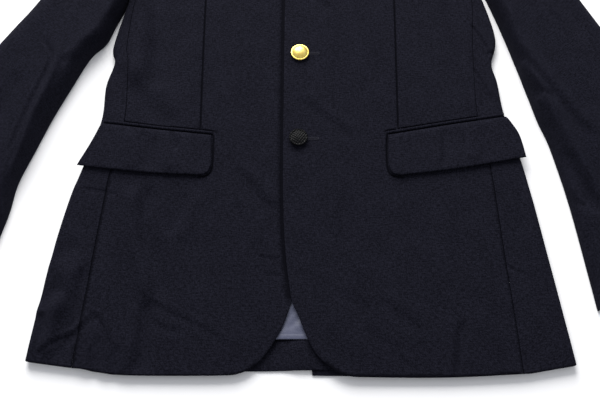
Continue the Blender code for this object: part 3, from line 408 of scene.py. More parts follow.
# Collar sections, gorge to centre back: foot x, y, fold x, y, free edge x, y, and which way the fall
# turns over the stand (1 above it, 0 beside it, -1 beneath it)
COLLAR_SECTIONS = (
    (66.0, 725.0, 63.4, 724.2, 107.3, 698.6, 1.0),
    (74.2, 738.0, 68.5, 739.5, 130.0, 723.0, 1.0),
    (81.2, 750.8, 74.0, 756.0, 124.0, 741.0, 1.0),
    (85.9, 758.6, 80.0, 767.0, 121.5, 754.5, 1.0),
    (87.6, 761.4, 84.0, 773.0, 118.0, 759.5, 0.0),
    (84.6, 760.4, 79.0, 777.0, 113.0, 757.5, -1.0),
    (76.0, 753.4, 70.0, 778.0, 100.0, 743.0, -1.0),
    (44.0, 743.6, 40.0, 774.0, 55.0, 730.0, -1.0),
    (0.0, 739.4, 0.0, 770.0, 0.0, 728.0, -1.0),
)
COLLAR_SIDE_HEIGHT = 6.0             # where it stands beside the shoulder seams
COLLAR_FLOOR = 1.0
FOLD_GAP = 2.7                       # between the middles of stand and fall
STAND_POINTS = 6
FOLD_POINTS = 9
FALL_POINTS = 15

# Outer and inner wall of a lapel: start behind the roll line, way forwards as it turns over, and height
# above the front
LAPEL_WALLS = (
    (2.9, 2.9, LAYER_GAP + LAPEL_CLOTH),
    (0.5, 0.3, LAYER_GAP),
)
LAPEL_TUCK = 0.2                     # depth in the front at which it begins to turn
LAPEL_TURNS = np.radians(np.linspace(0.0, 90.0, 9))
LAPEL_SHARES = np.linspace(0.0, 1.0, 26)[1:]
LAPEL_SWELL = 1.6                    # its roll stands up between the roll line and the edge
LAPEL_SWELL_SPREAD = 1.15
LAPEL_SWELL_START = (0.05, 0.4)      # shares of the way up the roll line

# Side panel, from the middle of its rounded side fold: shares of the way to the back seam, turns of the
# round, shares of the way to the front seam, and how soon the top takes up the front's height
PANEL_BENEATH = np.linspace(1.0, 0.08, 12)
PANEL_TURNS = np.radians(np.linspace(-90.0, 90.0, 17))
PANEL_ABOVE = np.linspace(0.04, 1.0, 22)
PANEL_TAKE_UP = np.linspace(0.0, 4.0, 22)

# Pocket flaps: outline x, y from the inner end of the pocket mouth, along it, round and back
FLAPS = {
    "right": (
        ((-100.7, 261.6), (-160.0, 268.4), (-222.0, 276.2)),
        ((-222.0, 276.2), (-232.0, 250.0), (-243.7, 224.1)),
        ((-243.7, 224.1), (-175.0, 216.0), (-112.0, 212.3)),
        ((-112.0, 212.3), (-103.0, 215.3), (-99.2, 225.5)),
    ),
    "left": (
        ((93.1, 261.8), (160.0, 274.0), (224.8, 284.6)),
        ((224.8, 284.6), (236.5, 262.0), (241.4, 233.7)),
        ((241.4, 233.7), (169.0, 220.5), (105.0, 212.0)),
        ((105.0, 212.0), (96.0, 214.5), (92.4, 224.0)),
    ),
}
FLAP_STEP = 2.5
FLAP_SINK = 1.7                      # it comes out from under the welt
FLAP_SINK_REACH = (0.0, 4.0)
FLAP_LIFT = 1.0                      # the free edge stands away from the front
FLAP_LIFT_REACH = (8.0, 52.0)
FLAP_CREASE_REACH = (0.0, 6.0)
WELT_HEIGHT = 4.2
WELT_OVERHANG = 1.5
WELT_SHORT = 2.2
WELT_BEAD = 0.5                      # its roundness
WELT_POINTS = 5

# Buttons: name, x, y, finish, profile of radius and height
BUTTON_SIDES = 48
BUTTON_GAP = 0.3
DOMED_BUTTON = (
    (2.5, 0.0), (2.6, 1.5), (8.8, 1.4), (10.0, 1.6), (10.5, 2.4), (10.3, 3.0), (9.5, 3.25), (9.1, 3.1),
    (8.8, 3.35), (7.4, 4.6), (5.4, 5.7), (3.0, 6.35), (1.0, 6.6),
)
RIMMED_BUTTON = (
    (2.5, 0.0), (2.6, 1.2), (8.4, 1.1), (9.8, 1.7), (10.4, 2.7), (10.2, 3.6), (9.4, 4.15), (8.7, 4.0),
    (8.3, 3.55), (7.8, 3.7), (5.4, 4.3), (2.6, 4.6), (0.8, 4.7),
)
BUTTONS = (
    ("button_top", -3.4, 476.5, "gold_metal", DOMED_BUTTON),
    ("button_middle", -3.4, 366.5, "gold_metal", DOMED_BUTTON),
    ("button_bottom", -5.0, 257.2, "dark_button", RIMMED_BUTTON),
)
BUTTONHOLE_LENGTH = 21.0
SLIT_HALF = 0.3                      # from the slit's middle to its lips
STITCH_PITCH = 0.62
STITCH_LENGTH = 1.5
STITCH_RADIUS = 0.27
STITCH_SIDES = 8
STITCH_SOFTNESS = 0.6                # share of its radius that is rounded off
STITCH_LIFT = 0.12
STITCH_UNEVEN = 0.04                 # step between the heights of stitches side by side
STITCH_HEIGHTS = 3
END_TURNS = np.radians(np.arange(-70.0, 71.0, 20.0))

# Spacing of the points that carry each cloth
EDGE_STEP = 3.0
FRONT_STEP = 3.2
BACK_STEP = 7.0
GRID_STEP = 4.0
SIDE_STEP = 2.0
SLEEVE_STEP = 3.0
NET_MARGIN = 0.5                     # a net keeps at least this far from the rows of an edge
ROW_CLEARANCE = 0.6                  # and this share of its step from other rows
SHARPEST_TURN = 0.5                  # keeps a sharp corner from running in too far
INSIDE_ONLY = 1                      # facets that the net is asked for
MERGE_REACH = 0.001

# Camera and light, in metres; the lens and its sensor in millimetres
CAMERA_PLACE = (0.0137, -0.5525, 0.8219)
CAMERA_TILT = 22.57
CAMERA_LENS = 50.0
CAMERA_SENSOR = 36.0
FLOOR_SIZE = 7.0
FLOOR_DROP = 0.0004                  # the floor lies this far below the lowest cloth
KEY_PLACE = (-0.45, 2.15, 1.5)       # beyond the collar, so that creases show
KEY_SIZE = 2.0
KEY_WATTS = 150.0
KEY_COLOUR = (1.0, 0.99, 0.975)
SKY_COLOUR = (0.93, 0.95, 1.0)
SKY_STRENGTH = 0.6

# Wool and other finishes: dark and light colour, and how uneven the dye is
NAVY = ((0.0030, 0.0030, 0.0052), (0.0134, 0.0135, 0.0216))
SATIN = ((0.050, 0.055, 0.094), (0.083, 0.091, 0.146))
GOLD = ((0.86, 0.60, 0.12), (1.0, 0.84, 0.27))
HORN = ((0.0010, 0.0010, 0.0013), (0.0062, 0.0064, 0.0072))
THREAD = ((0.010, 0.010, 0.016), (0.024, 0.024, 0.034))
PALE_FLOOR = ((0.86, 0.86, 0.87), (0.88, 0.88, 0.885))
UNEVEN_DYE = 0.09
WARP_SHARE = 0.4
WEFT_SHARE = 0.6


# ---- curves and heights ---------------------------------------------------------------------------

def ease(t):
    """Rise smoothly from 0 to 1 as t goes from 0 to 1."""
    t = np.clip(t, 0.0, 1.0)
    return t * t * (3 - 2 * t)


def ramp(value, start, end):
    """Rise smoothly from 0 at start to 1 at end."""
    return ease((value - start) / (end - start))


def quarter_round(t):
    """Rise from 0 to 1 along a quarter of a circle."""
    t = np.clip(t, 0.0, 1.0)
    return np.sqrt(1 - (1 - t) ** 2)


def curve(rows, step):
    """Smooth curve through rows of numbers, with a row about every step."""
    rows = [np.array(row, float) for row in rows]
    ends = [2 * rows[0] - rows[1]] + rows + [2 * rows[-1] - rows[-2]]
    points = []
    for before, start, end, after in zip(ends, ends[1:], ends[2:], ends[3:]):
        count = max(1, round(float(np.linalg.norm(end - start)) / step))
        for t in np.arange(count) / count:
            slope = (end - before) * t
            bend = (2 * before - 5 * start + 4 * end - after) * t ** 2
            twist = (3 * start - before - 3 * end + after) * t ** 3
            points.append(start + 0.5 * (slope + bend + twist))
    points.append(rows[-1])
    return np.array(points)


def mirrored(points, side):
    """Points given for the left side, moved to the named side."""
    return np.array(points) * (SIDES[side], 1)


def from_line(x, y, line):
    """Signed distance from a bent line, positive on the right of its run, and the share of it passed."""
    lengths = np.hypot(*np.diff(line, axis=0).T)
    total, passed = lengths.sum(), 0.0
    nearest, share = np.full(np.shape(x), np.inf), np.zeros(np.shape(x))
    for (x0, y0), (x1, y1), length in zip(line, line[1:], lengths):
        across, up = (x1 - x0) / length, (y1 - y0) / length
        t = np.clip((x - x0) * across + (y - y0) * up, 0, length)
        away_x, away_y = x - x0 - t * across, y - y0 - t * up
        distance = np.hypot(away_x, away_y)
        closer = distance < np.abs(nearest)
        side = np.where(away_x * up - away_y * across < 0, -1.0, 1.0)
        nearest = np.where(closer, distance * side, nearest)
        share = np.where(closer, (passed + t) / total, share)
        passed += length
    return nearest, share


@functools.cache
def drawn(line):
    """Smooth curve of one crease."""
    return curve(line, GRID_STEP)


def creased(x, y, rows):
    """Height of soft troughs, ridges and falls at points."""
    total = np.zeros(np.shape(x))
    for width, height, fall, line in rows:
        reach, share = from_line(x, y, drawn(line))
        reach = reach / width
        ends = ease(share / CREASE_END) * ease((1 - share) / CREASE_END)
        total += (height - FALL_STEEPNESS * fall * reach) * np.exp(-reach ** 2) * ends
    return total


def sunken(away, width):
    """Share of a groove's depth at a distance from its line."""
    return np.exp(-(away / width) ** 4)


def shoulder_rise(x, y):
    """How far the shoulder pads lift the fronts."""
    return SHOULDER_RISE * ramp(y, *PAD_ALONG) * ramp(np.abs(x), *PAD_ACROSS)


def front_top(side, x, y):
    """Height of the top of a front, and of the side panel beside it."""
    soft = creased(x, y, CREASES[side])
    soft = np.where(soft < 0, DEEPEST * np.tanh(soft / DEEPEST), soft)
    height = BODY_HEIGHT + shoulder_rise(x, y) + soft
    height -= HEM_DROP * (1 - ramp(y, *HEM_DROP_REACH))
    below_lapels = 1 - ramp(y, *OVERLAP_END)
    if side == "right":
        return height - UNDER_FRONT_DIP * ramp(x, *UNDER_FRONT_REACH) * below_lapels
    lift = OVER_FRONT_LIFT + BREAK_LIFT * ramp(y, *BREAK_REACH)
    return height + lift * (1 - ramp(x, *OVER_FRONT_REACH)) * below_lapels


def front_wall(side, x, y):
    """Bottom and top of a front, rounded down to the back along the shoulder seam."""
    top = front_top(side, x, y)
    bottom = top - FRONT_CLOTH - PAD_SHARE * shoulder_rise(x, y)
    near = quarter_round(np.abs(from_line(np.abs(x), y, np.array(SHOULDER_SEAM))[0]) / SHOULDER_ROUND)
    bottom = SHOULDER_EDGE_BOTTOM + (bottom - SHOULDER_EDGE_BOTTOM) * near
    top = SHOULDER_EDGE_TOP + (top - SHOULDER_EDGE_TOP) * near
    for width, depth, line in GROOVES[side]:
        away, share = from_line(x, y, drawn(line))
        ends = ease(share / GROOVE_START) * ease((1 - share) / GROOVE_END)
        sunk = depth * sunken(away, width) * ends
        top = top - sunk
        bottom = bottom - np.maximum(sunk - FRONT_CLOTH / 2, 0)
    return bottom, top


def neck_lift(x, y):
    """How far the back is lifted by the collar's fall beneath it."""
    return NECK_LIFT * ramp(y, *NECK_LIFT_ALONG) * (1 - ramp(np.abs(x), *NECK_LIFT_ACROSS))


def back_wall(side, x, y):
    """Bottom and top of a back half: doubled at the hem, the right half over the left at the vent."""
    bottom = neck_lift(x, y)
    if side == "right":
        lift = VENT_LIFT + TURN_UP_CLOTH * (1 - ramp(y, *TURN_UP_REACH))
        bottom = bottom + lift * ramp(x, *VENT_SLOPE) * (1 - ramp(y, *VENT_END))
    turned = TURN_UP_CLOTH * (1 - ramp(y, *TURN_UP_EDGE))
    return bottom, bottom + BACK_CLOTH + turned


def lining_wall(x, y):
    """Bottom and top of the lining, lifted over the vent and the neck, with a pleat along its foot."""
    over_vent = ramp(x, *LINING_RIGHT_SLOPE) * (1 - ramp(x, *LINING_LEFT_SLOPE))
    over_vent = over_vent * (1 - ramp(y, *LINING_END_SLOPE))
    bottom = LINING_FLOOR + LINING_OVER_VENT * over_vent + neck_lift(x, y)
    pleat = LINING_PLEAT * (1 - ramp(y, *LINING_PLEAT_EDGE))
    soft = creased(x, y, LINING_CREASES) * ramp(y, *LINING_CREASES_BEGIN)
    return bottom, bottom + LINING_CLOTH + pleat + np.maximum(soft, THINNEST_LINING - LINING_CLOTH)


# ---- cloth meshes ---------------------------------------------------------------------------------

def cloth(name, points, faces, uv):
    """A smooth mesh from points in millimetres, with its flat layout as its UV map."""
    placed = np.array(points, float)
    placed[:, :2] -= MIDDLE
    mesh = bpy.data.meshes.new(name)
    mesh.from_pydata((placed * METRES).tolist(), [], faces)
    mesh.validate()
    corners = np.zeros(len(mesh.loops), np.int32)
    mesh.loops.foreach_get("vertex_index", corners)
    layout = mesh.uv_layers.new(name="layout")
    layout.data.foreach_set("uv", (np.array(uv)[corners] * METRES).ravel())
    mesh.shade_smooth()
    piece = bpy.data.objects.new(name, mesh)
    bpy.context.scene.collection.objects.link(piece)
    return piece


def edge_fullness(count):
    """Share of the cloth's thickness along a row of points: none at its ends, all within."""
    full = np.ones(count)
    for index, reach in enumerate((0.0,) + EDGE_ROWS[:-1]):
        full[index] = full[-1 - index] = quarter_round(reach / EDGE_ROWS[-1])
    return full


def with_edge_rows(grid):
    """A grid with rows added close to its first and last ones."""
    def near(first, second):
        """The first row, and rows at the edge's reaches from it towards the second."""
        length = np.linalg.norm(second[:, :3] - first[:, :3], axis=1).mean()
        return [first] + [first + (second - first) * reach / length for reach in EDGE_ROWS]

    return np.array(near(grid[0], grid[1]) + list(grid[1:-1]) + near(grid[-1], grid[-2])[::-1])


def grid_cloth(name, outer, inner, uv):
    """Closed cloth between two grids of points with the same rows and columns, its edges rounded."""
    grid = np.concatenate((outer, inner, uv), axis=2)
    grid = with_edge_rows(with_edge_rows(grid).swapaxes(0, 1)).swapaxes(0, 1)
    rows, columns = grid.shape[:2]
    full = np.minimum.outer(edge_fullness(rows), edge_fullness(columns))[..., None]
    middle = (grid[..., :3] + grid[..., 3:6]) / 2
    half = (grid[..., :3] - grid[..., 3:6]) / 2 * full
    upper = np.arange(rows * columns).reshape(rows, columns)
    lower = upper.copy()
    within = lower[1:-1, 1:-1]
    within[:] = rows * columns + np.arange(within.size).reshape(within.shape)
    points = np.concatenate(((middle + half).reshape(-1, 3), (middle - half)[1:-1, 1:-1].reshape(-1, 3)))
    layout = np.concatenate((grid[..., 6:].reshape(-1, 2), grid[1:-1, 1:-1, 6:].reshape(-1, 2)))
    faces = []
    for index, order in ((upper, (0, 1, 2, 3)), (lower, (3, 2, 1, 0))):
        corners = (index[:-1, :-1], index[:-1, 1:], index[1:, 1:], index[1:, :-1])
        faces += np.stack([corners[i] for i in order], axis=-1).reshape(-1, 4).tolist()
    return cloth(name, points, faces, layout)


def grid_layout(grid):
    """Flat layout of a grid: across from its middle column, along down its middle column."""
    across = np.linalg.norm(np.diff(grid, axis=1), axis=2)
    u = np.concatenate((np.zeros((len(grid), 1)), np.cumsum(across, axis=1)), axis=1)
    u -= u[:, -1:] / 2
    middle = grid[:, grid.shape[1] // 2]
    v = np.concatenate(((0.0,), np.cumsum(np.linalg.norm(np.diff(middle, axis=0), axis=1))))
    return np.stack((u, np.broadcast_to(v[:, None], u.shape)), axis=2)


def inset(outline, distance):
    """An outline that runs anticlockwise, moved inwards."""
    ahead = np.roll(outline, -1, axis=0) - outline
    ahead /= np.linalg.norm(ahead, axis=1, keepdims=True)
    inward = np.stack((-ahead[:, 1], ahead[:, 0]), axis=1)
    both = inward + np.roll(inward, 1, axis=0)
    both /= np.maximum((both * both).sum(axis=1, keepdims=True) / 2, SHARPEST_TURN)
    return outline + both * distance


def well_within(x, y, outline, reach):
    """Whether points lie inside an outline, and further than a reach from it."""
    within = np.zeros(len(x), bool)
    for (x0, y0), (x1, y1) in zip(outline, np.roll(outline, -1, axis=0)):
        if y0 != y1:
            within ^= ((y0 > y) != (y1 > y)) & (x < x0 + (y - y0) * (x1 - x0) / (y1 - y0))
    closed = np.concatenate((outline, outline[:1]))
    return within & (np.abs(from_line(x, y, closed)[0]) > reach)


def lattice(outline, step):
    """Points of an even triangular net that lie well within an outline."""
    low, high = outline.min(axis=0), outline.max(axis=0)
    row_height = step * math.sqrt(3) / 2
    rows = np.arange(math.floor(low[1] / row_height), math.ceil(high[1] / row_height) + 1)
    columns = np.arange(math.floor(low[0] / step) - 1, math.ceil(high[0] / step) + 1)
    x = (columns[None, :] + (rows[:, None] % 2) / 2) * step
    y = np.broadcast_to((rows * row_height)[:, None], x.shape)
    x, y = x.ravel(), y.ravel()
    clear = well_within(x, y, outline, max(step / 2, EDGE_ROWS[-1] + NET_MARGIN))
    return np.stack((x[clear], y[clear]), axis=1)


def cleared(points, rows, reach):
    """Points that keep a reach from rows of other points."""
    for row in rows:
        points = points[np.abs(from_line(points[:, 0], points[:, 1], row)[0]) > reach]
    return points


def cut_net(outline, step, rows):
    """Points and facets inside an outline, and which of its rings each point is on."""
    count = len(outline)
    parts = [outline] + [inset(outline, reach) for reach in EDGE_ROWS] + list(rows)
    parts.append(cleared(lattice(outline, step), rows, ROW_CLEARANCE * step))
    plan = [Vector(point) for point in np.concatenate(parts)]
    edges = [(index, (index + 1) % count) for index in range(count)]
    found = delaunay_2d_cdt(plan, edges, [], INSIDE_ONLY, MERGE_REACH)
    rings = [min(sources) // count if sources else INNER_RING for sources in found[3]]
    return np.array(found[0]), [list(facet) for facet in found[2]], np.array(rings)


def panel_cloth(name, outline, heights, step, rows=()):
    """Flat-lying cloth inside an outline; heights(x, y) gives its bottom and top.

    Rows are open runs of points that the facets have to follow.
    """
    outline = np.array(outline, float)
    turning = outline[:, 0] * np.roll(outline[:, 1], -1) - np.roll(outline[:, 0], -1) * outline[:, 1]
    if turning.sum() < 0:
        outline = outline[::-1]
    placed, facets, rings = cut_net(outline, step, rows)
    fullness = np.append(quarter_round(np.array((0.0,) + EDGE_ROWS) / EDGE_ROWS[-1]), 1.0)
    bottom, top = heights(placed[:, 0], placed[:, 1])
    middle, half = (bottom + top) / 2, (top - bottom) / 2 * fullness[np.minimum(rings, INNER_RING)]
    within = rings > 0
    lower = np.arange(len(placed))
    lower[within] = len(placed) + np.arange(within.sum())
    points = np.column_stack((placed, middle + half))
    points = np.concatenate((points, np.column_stack((placed, middle - half))[within]))
    layout = np.concatenate((placed, placed[within]))
    faces = facets + [[int(lower[corner]) for corner in reversed(facet)] for facet in facets]
    return cloth(name, points, faces, layout)


def beside(line, offset):
    """A bent line moved sideways."""
    line = np.array(line, float)
    ahead = np.gradient(line, axis=0)
    ahead /= np.linalg.norm(ahead, axis=1, keepdims=True)
    return line + np.stack((ahead[:, 1], -ahead[:, 0]), axis=1) * offset


# ---- pieces ---------------------------------------------------------------------------------------

def side_rows(side):
    """Rows of height, side fold and front seam along the body's side."""
    return curve(SIDE_EDGE[side], SIDE_STEP)


def slanted(side, y, from_fold):
    """Height along the garment of a point set in from the side fold, where the hem runs aslant."""
    hem = SIDE_EDGE[side][0][0]
    return y - HEM_SLANT[side] * from_fold * (1 - ease((y - hem) / HEM_SLANT_REACH))


def side_panel(side):
    """Underarm panel: from the back seam beneath, round the side fold, to the seam on the front."""
    sign = SIDES[side]
    rows = side_rows(side)
    y, fold, seam = rows[:, 0:1], rows[:, 1:2], rows[:, 2:3]
    edge = front_top(side, sign * (fold - BODY_HEIGHT / 2), y)
    radius = edge / 2
    centre = fold - radius
    beneath = centre + (fold - BACK_SEAM_INSET - centre) * PANEL_BENEATH
    above = centre + (seam + SEAM_GAP - centre) * PANEL_ABOVE
    top = front_top(side, sign * above, slanted(side, y, fold - above))
    top = edge + (top - edge) * ease(PANEL_TAKE_UP)
    grids = []
    for reach, lift in ((radius, 0.0), (radius - FRONT_CLOTH, FRONT_CLOTH)):
        round_x = centre + reach * np.cos(PANEL_TURNS)
        round_z = radius + reach * np.sin(PANEL_TURNS)
        x = np.concatenate((beneath, round_x, above), axis=1)
        z = np.concatenate((np.full(beneath.shape, lift), round_z, top - lift), axis=1)
        grids.append(np.stack((sign * x, slanted(side, y, fold - x), z), axis=2))
    return grid_cloth(f"side_panel_{side}_cloth", *grids, grid_layout(grids[0]))


def side_seam(side, distance):
    """Seam at a distance from the centre line for each of the body's side rows, hem to armpit."""
    rows = side_rows(side)
    return np.stack((SIDES[side] * distance, slanted(side, rows[:, 0], rows[:, 1] - distance)), axis=1)


def front_outline(side, hem, seam):
    """Outline of a front: hem, side seam, armhole, shoulder, neck and roll line."""
    head = sleeve_head()
    armhole = head[head[:, 1] < HEAD_END_Y] - (HEAD_GAP, 0)
    upper = np.concatenate((
        [(abs(seam[-1][0]), seam[-1][1] + UNDERARM_GAP)], armhole, [SHOULDER_TIP],
        curve(SHOULDER_SEAM, EDGE_STEP)[1:], curve(FRONT_NECK[:4], EDGE_STEP)[1:], FRONT_NECK[4:],
        curve((GORGE, BREAK), EDGE_STEP)[1:-1],
    ))
    return np.concatenate((hem, seam, mirrored(upper, side)))


def front_rows(side, outline):
    """Rows of points along the grooves and the narrow creases of a front."""
    rows = [beside(drawn(line), offset) for _, _, line in GROOVES[side] for offset in GROOVE_ROWS]
    for width, _, _, line in CREASES[side]:
        if width < CRISP:
            rows += [beside(drawn(line), offset * width) for offset in CRISP_ROWS]
    rows = [row[well_within(row[:, 0], row[:, 1], outline, ROW_MARGIN)] for row in rows]
    return [row for row in rows if len(row) > 1]


def front(side):
    """One front, with its neck, roll line, front edge and hem, and shade painted along its sewn lines, lower
    side seam and hem.
    """
    seam = side_seam(side, side_rows(side)[:, 2])
    hem = curve(FRONT_EDGE[side] + (tuple(seam[0]),), EDGE_STEP)[:-1]
    outline = front_outline(side, hem, seam)
    piece = panel_cloth(
        f"front_{side}_cloth", outline, lambda x, y: front_wall(side, x, y), FRONT_STEP,
        front_rows(side, outline))
    # Lower side seam and hem: only painted shade lies here, no groove is cut.
    shaded = (
        (*SIDE_SEAM_SHADE[side], seam[seam[:, 1] < SEAM_SHADE_END]),
        (*HEM_SHADE[side], hem[hem[:, 1] < HEM_SHADE_END]),
    )
    edges = [(width, depth, tuple(map(tuple, line[::EDGE_LINE_STEP]))) for width, depth, line in shaded]
    paint_groove_shade(piece, list(GROOVES[side]) + edges)
    return piece


def paint_groove_shade(piece, grooves):
    """Paint shade along sewn lines: store at each point, in the 'fold' attribute, how far the wool's colour
    is darkened there.
    """
    mesh = piece.data
    places = np.zeros(3 * len(mesh.vertices))
    mesh.vertices.foreach_get("co", places)
    plan = places.reshape(-1, 3)[:, :2] / METRES + MIDDLE
    painted_shade = np.zeros(len(plan))
    for width, depth, line in grooves:
        away, _ = from_line(plan[:, 0], plan[:, 1], drawn(line))
        painted_shade = np.maximum(painted_shade, min(depth / FULL_SHADE_DEPTH, 1.0) * sunken(away, width))
    fold = mesh.attributes.new("fold", "FLOAT", "POINT")
    fold.data.foreach_set("value", painted_shade)


def back_seam(side, gap):
    """Seam of the back along the side panel, set in by a gap."""
    return side_seam(side, side_rows(side)[:, 1] - BACK_SEAM_INSET - gap)


def level_rows(start, stop, heights, step):
    """Straight rows of points across a piece, at heights up the garment."""
    return [curve(((start, y), (stop, y)), step) for y in heights]


def centre_back(side):
    """Centre seam of a back half, from the neck down; the right half runs on over the vent."""
    line = curve(CENTRE_BACK, EDGE_STEP)[::-1] + (SIDES[side] * SEAM_GAP / 2, 0)
    if side == "left":
        return line
    foot = BACK_HEM[side][0]
    shoulder = (foot[0], VENT_TOP - VENT_SHOULDER)
    slope = curve(((CENTRE_BACK[1][0] - SEAM_GAP, VENT_TOP), shoulder), EDGE_STEP)[:-1]
    above_vent = line[line[:, 1] > VENT_TOP + MARGIN]
    return np.concatenate((above_vent, slope, curve((shoulder, foot), EDGE_STEP)))


def back(side):
    """Half of the back; the right half runs on under the vent, over the left one."""
    seam = back_seam(side, SEAM_GAP)
    hem = curve(BACK_HEM[side] + (tuple(seam[0]),), EDGE_STEP)[1:-1]
    underarm = (SIDE_EDGE[side][-1][2], ARMPIT_Y + UNDERARM_GAP)
    upper = np.concatenate((
        curve((underarm,) + ARMHOLE, EDGE_STEP), curve(SHOULDER_SEAM, EDGE_STEP)[1:],
        curve(BACK_NECK_SEAM, EDGE_STEP)[1:-1],
    ))
    outline = np.concatenate((
        centre_back(side), hem, seam, ((seam[-1][0], ARMPIT_Y + UNDERARM_GAP),), mirrored(upper, side)))
    start = outline[:, 0].max() - MARGIN if side == "right" else CENTRE_BACK[0][0] + MARGIN
    stop = SIDES[side] * (abs(seam[0][0]) - MARGIN)
    return panel_cloth(
        f"back_{side}_cloth", outline, lambda x, y: back_wall(side, x, y), BACK_STEP,
        level_rows(start, stop, TURN_UP_ROWS, BACK_STEP))


def lining():
    """Lining of the back, from the hem's turn-up to the neck."""
    halves = {}
    for side, sign in SIDES.items():
        seam = back_seam(side, LINING_SIDE_INSET)
        seam = seam[seam[:, 1] > TURN_UP + MARGIN]
        hem = curve(((0.0, LINING_FOOT), (seam[0][0] + sign * MARGIN / 2, LINING_FOOT)), EDGE_STEP)[1:]
        halves[side] = np.concatenate((
            hem, seam,
            mirrored(curve(ARMHOLE[:-1], EDGE_STEP) - (LINING_ARMHOLE_INSET, 0), side),
            mirrored(curve(SHOULDER_SEAM, EDGE_STEP)[1:-1] - (0, LINING_SHOULDER_INSET), side),
            mirrored(curve(BACK_NECK_SEAM, EDGE_STEP)[4:-1] - (0, LINING_NECK_INSET), side),
        ))
    top = ((0.0, BACK_NECK[1] - LINING_NECK_INSET),)
    outline = np.concatenate((halves["right"], top, halves["left"][::-1], ((0.0, LINING_FOOT),)))
    rows = level_rows(-LINING_PLEAT_REACH, LINING_PLEAT_REACH, LINING_PLEAT_ROWS, EDGE_STEP)
    rows += level_rows(
        -LINING_CREASE_REACH, LINING_CREASE_REACH, LINING_CREASE_ROWS, LINING_CREASE_STEP)
    return panel_cloth("back_lining_cloth", outline, lining_wall, BACK_STEP, rows)


def flap(side):
    """Pocket flap, its free edge a little off the front."""
    runs = FLAPS[side] + ((FLAPS[side][-1][-1], FLAPS[side][0][0]),)
    outline = np.concatenate([curve(run, FLAP_STEP)[:-1] for run in runs])
    mouth = np.array(FLAPS[side][0])

    def heights(x, y):
        """Bottom and top, tucked under the welt at the mouth."""
        away = np.abs(from_line(x, y, mouth)[0])
        bottom = front_top(side, x, y) + LAYER_GAP + FLAP_LIFT * ramp(away, *FLAP_LIFT_REACH)
        bottom = bottom - FLAP_SINK * (1 - ramp(away, *FLAP_SINK_REACH))
        bottom = bottom + creased(x, y, FLAP_CREASES[side]) * ramp(away, *FLAP_CREASE_REACH)
        return bottom, bottom + FLAP_CLOTH

    return panel_cloth(f"flap_{side}_cloth", outline, heights, FRONT_STEP)


def welt(side):
    """Narrow piped edge above the pocket mouth."""
    mouth = curve(FLAPS[side][0], EDGE_STEP)
    mouth[0] -= (SIDES[side] * WELT_OVERHANG, 0.0)
    mouth[-1] -= (SIDES[side] * WELT_SHORT, 0.0)
    shares = np.linspace(0.0, 1.0, WELT_POINTS)
    across = np.stack((0 * shares, MOUTH_GAP + (WELT_HEIGHT - MOUTH_GAP) * shares), axis=1)
    plan = mouth[:, None] + across
    bottom = front_top(side, plan[..., 0], plan[..., 1]) + LAYER_GAP
    top = bottom + WELT_CLOTH + WELT_BEAD * np.sin(math.pi * shares)
    inner, outer = (np.concatenate((plan, height[..., None]), axis=2) for height in (bottom, top))
    if side == "left":
        outer, inner = outer[::-1], inner[::-1]
    return grid_cloth(f"welt_{side}_cloth", outer, inner, grid_layout(outer))


def lapel(side):
    """Lapel: turns over the front along the roll line and lies on it."""
    sign = SIDES[side]
    edge = curve(LAPEL_EDGE, EDGE_STEP)
    share = np.linspace(0, 1, len(edge))[:, None]
    roll = np.array(LAPEL_START) + (np.array(GORGE) - LAPEL_START) * share
    width = np.linalg.norm(edge - roll, axis=1, keepdims=True)
    across = (edge - roll) / width

    def placed(distance):
        """Plan of points at a distance across the roll line."""
        return sign * (roll[:, :1] + across[:, :1] * distance), roll[:, 1:] + across[:, 1:] * distance

    bottom, top = front_wall(side, *placed(0.0))
    reach = width * LAPEL_SHARES
    level = front_wall(side, *placed(reach))[1]
    swell = np.sin(math.pi * np.clip(LAPEL_SHARES * LAPEL_SWELL_SPREAD, 0, 1))
    swell = LAPEL_SWELL * swell * ramp(share, *LAPEL_SWELL_START)
    grids = []
    for behind, forwards, above in LAPEL_WALLS:
        turned = forwards * (1 - np.cos(LAPEL_TURNS)) - behind + 0 * top
        rise = top - LAPEL_TUCK + (above + LAPEL_TUCK) * np.sin(LAPEL_TURNS)
        distance = np.concatenate((np.full(top.shape, -behind), turned, reach), axis=1)
        height = np.concatenate((bottom, rise, level + above + swell), axis=1)
        grids.append(np.stack((*placed(distance), height), axis=2))
    if side == "left":
        grids = [grid[::-1] for grid in grids]
    return grid_cloth(f"lapel_{side}_cloth", *grids, grid_layout(grids[0]))


def collar_level(plan, turn, above, beneath):
    """Heights of the collar at plan points: over the front, beside the body or beneath the back."""
    if turn > 0:
        over = front_top("left", plan[:, 0], plan[:, 1]) + above
        return COLLAR_SIDE_HEIGHT + (over - COLLAR_SIDE_HEIGHT) * turn
    return np.full(len(plan), COLLAR_SIDE_HEIGHT + (COLLAR_SIDE_HEIGHT - beneath) * turn)


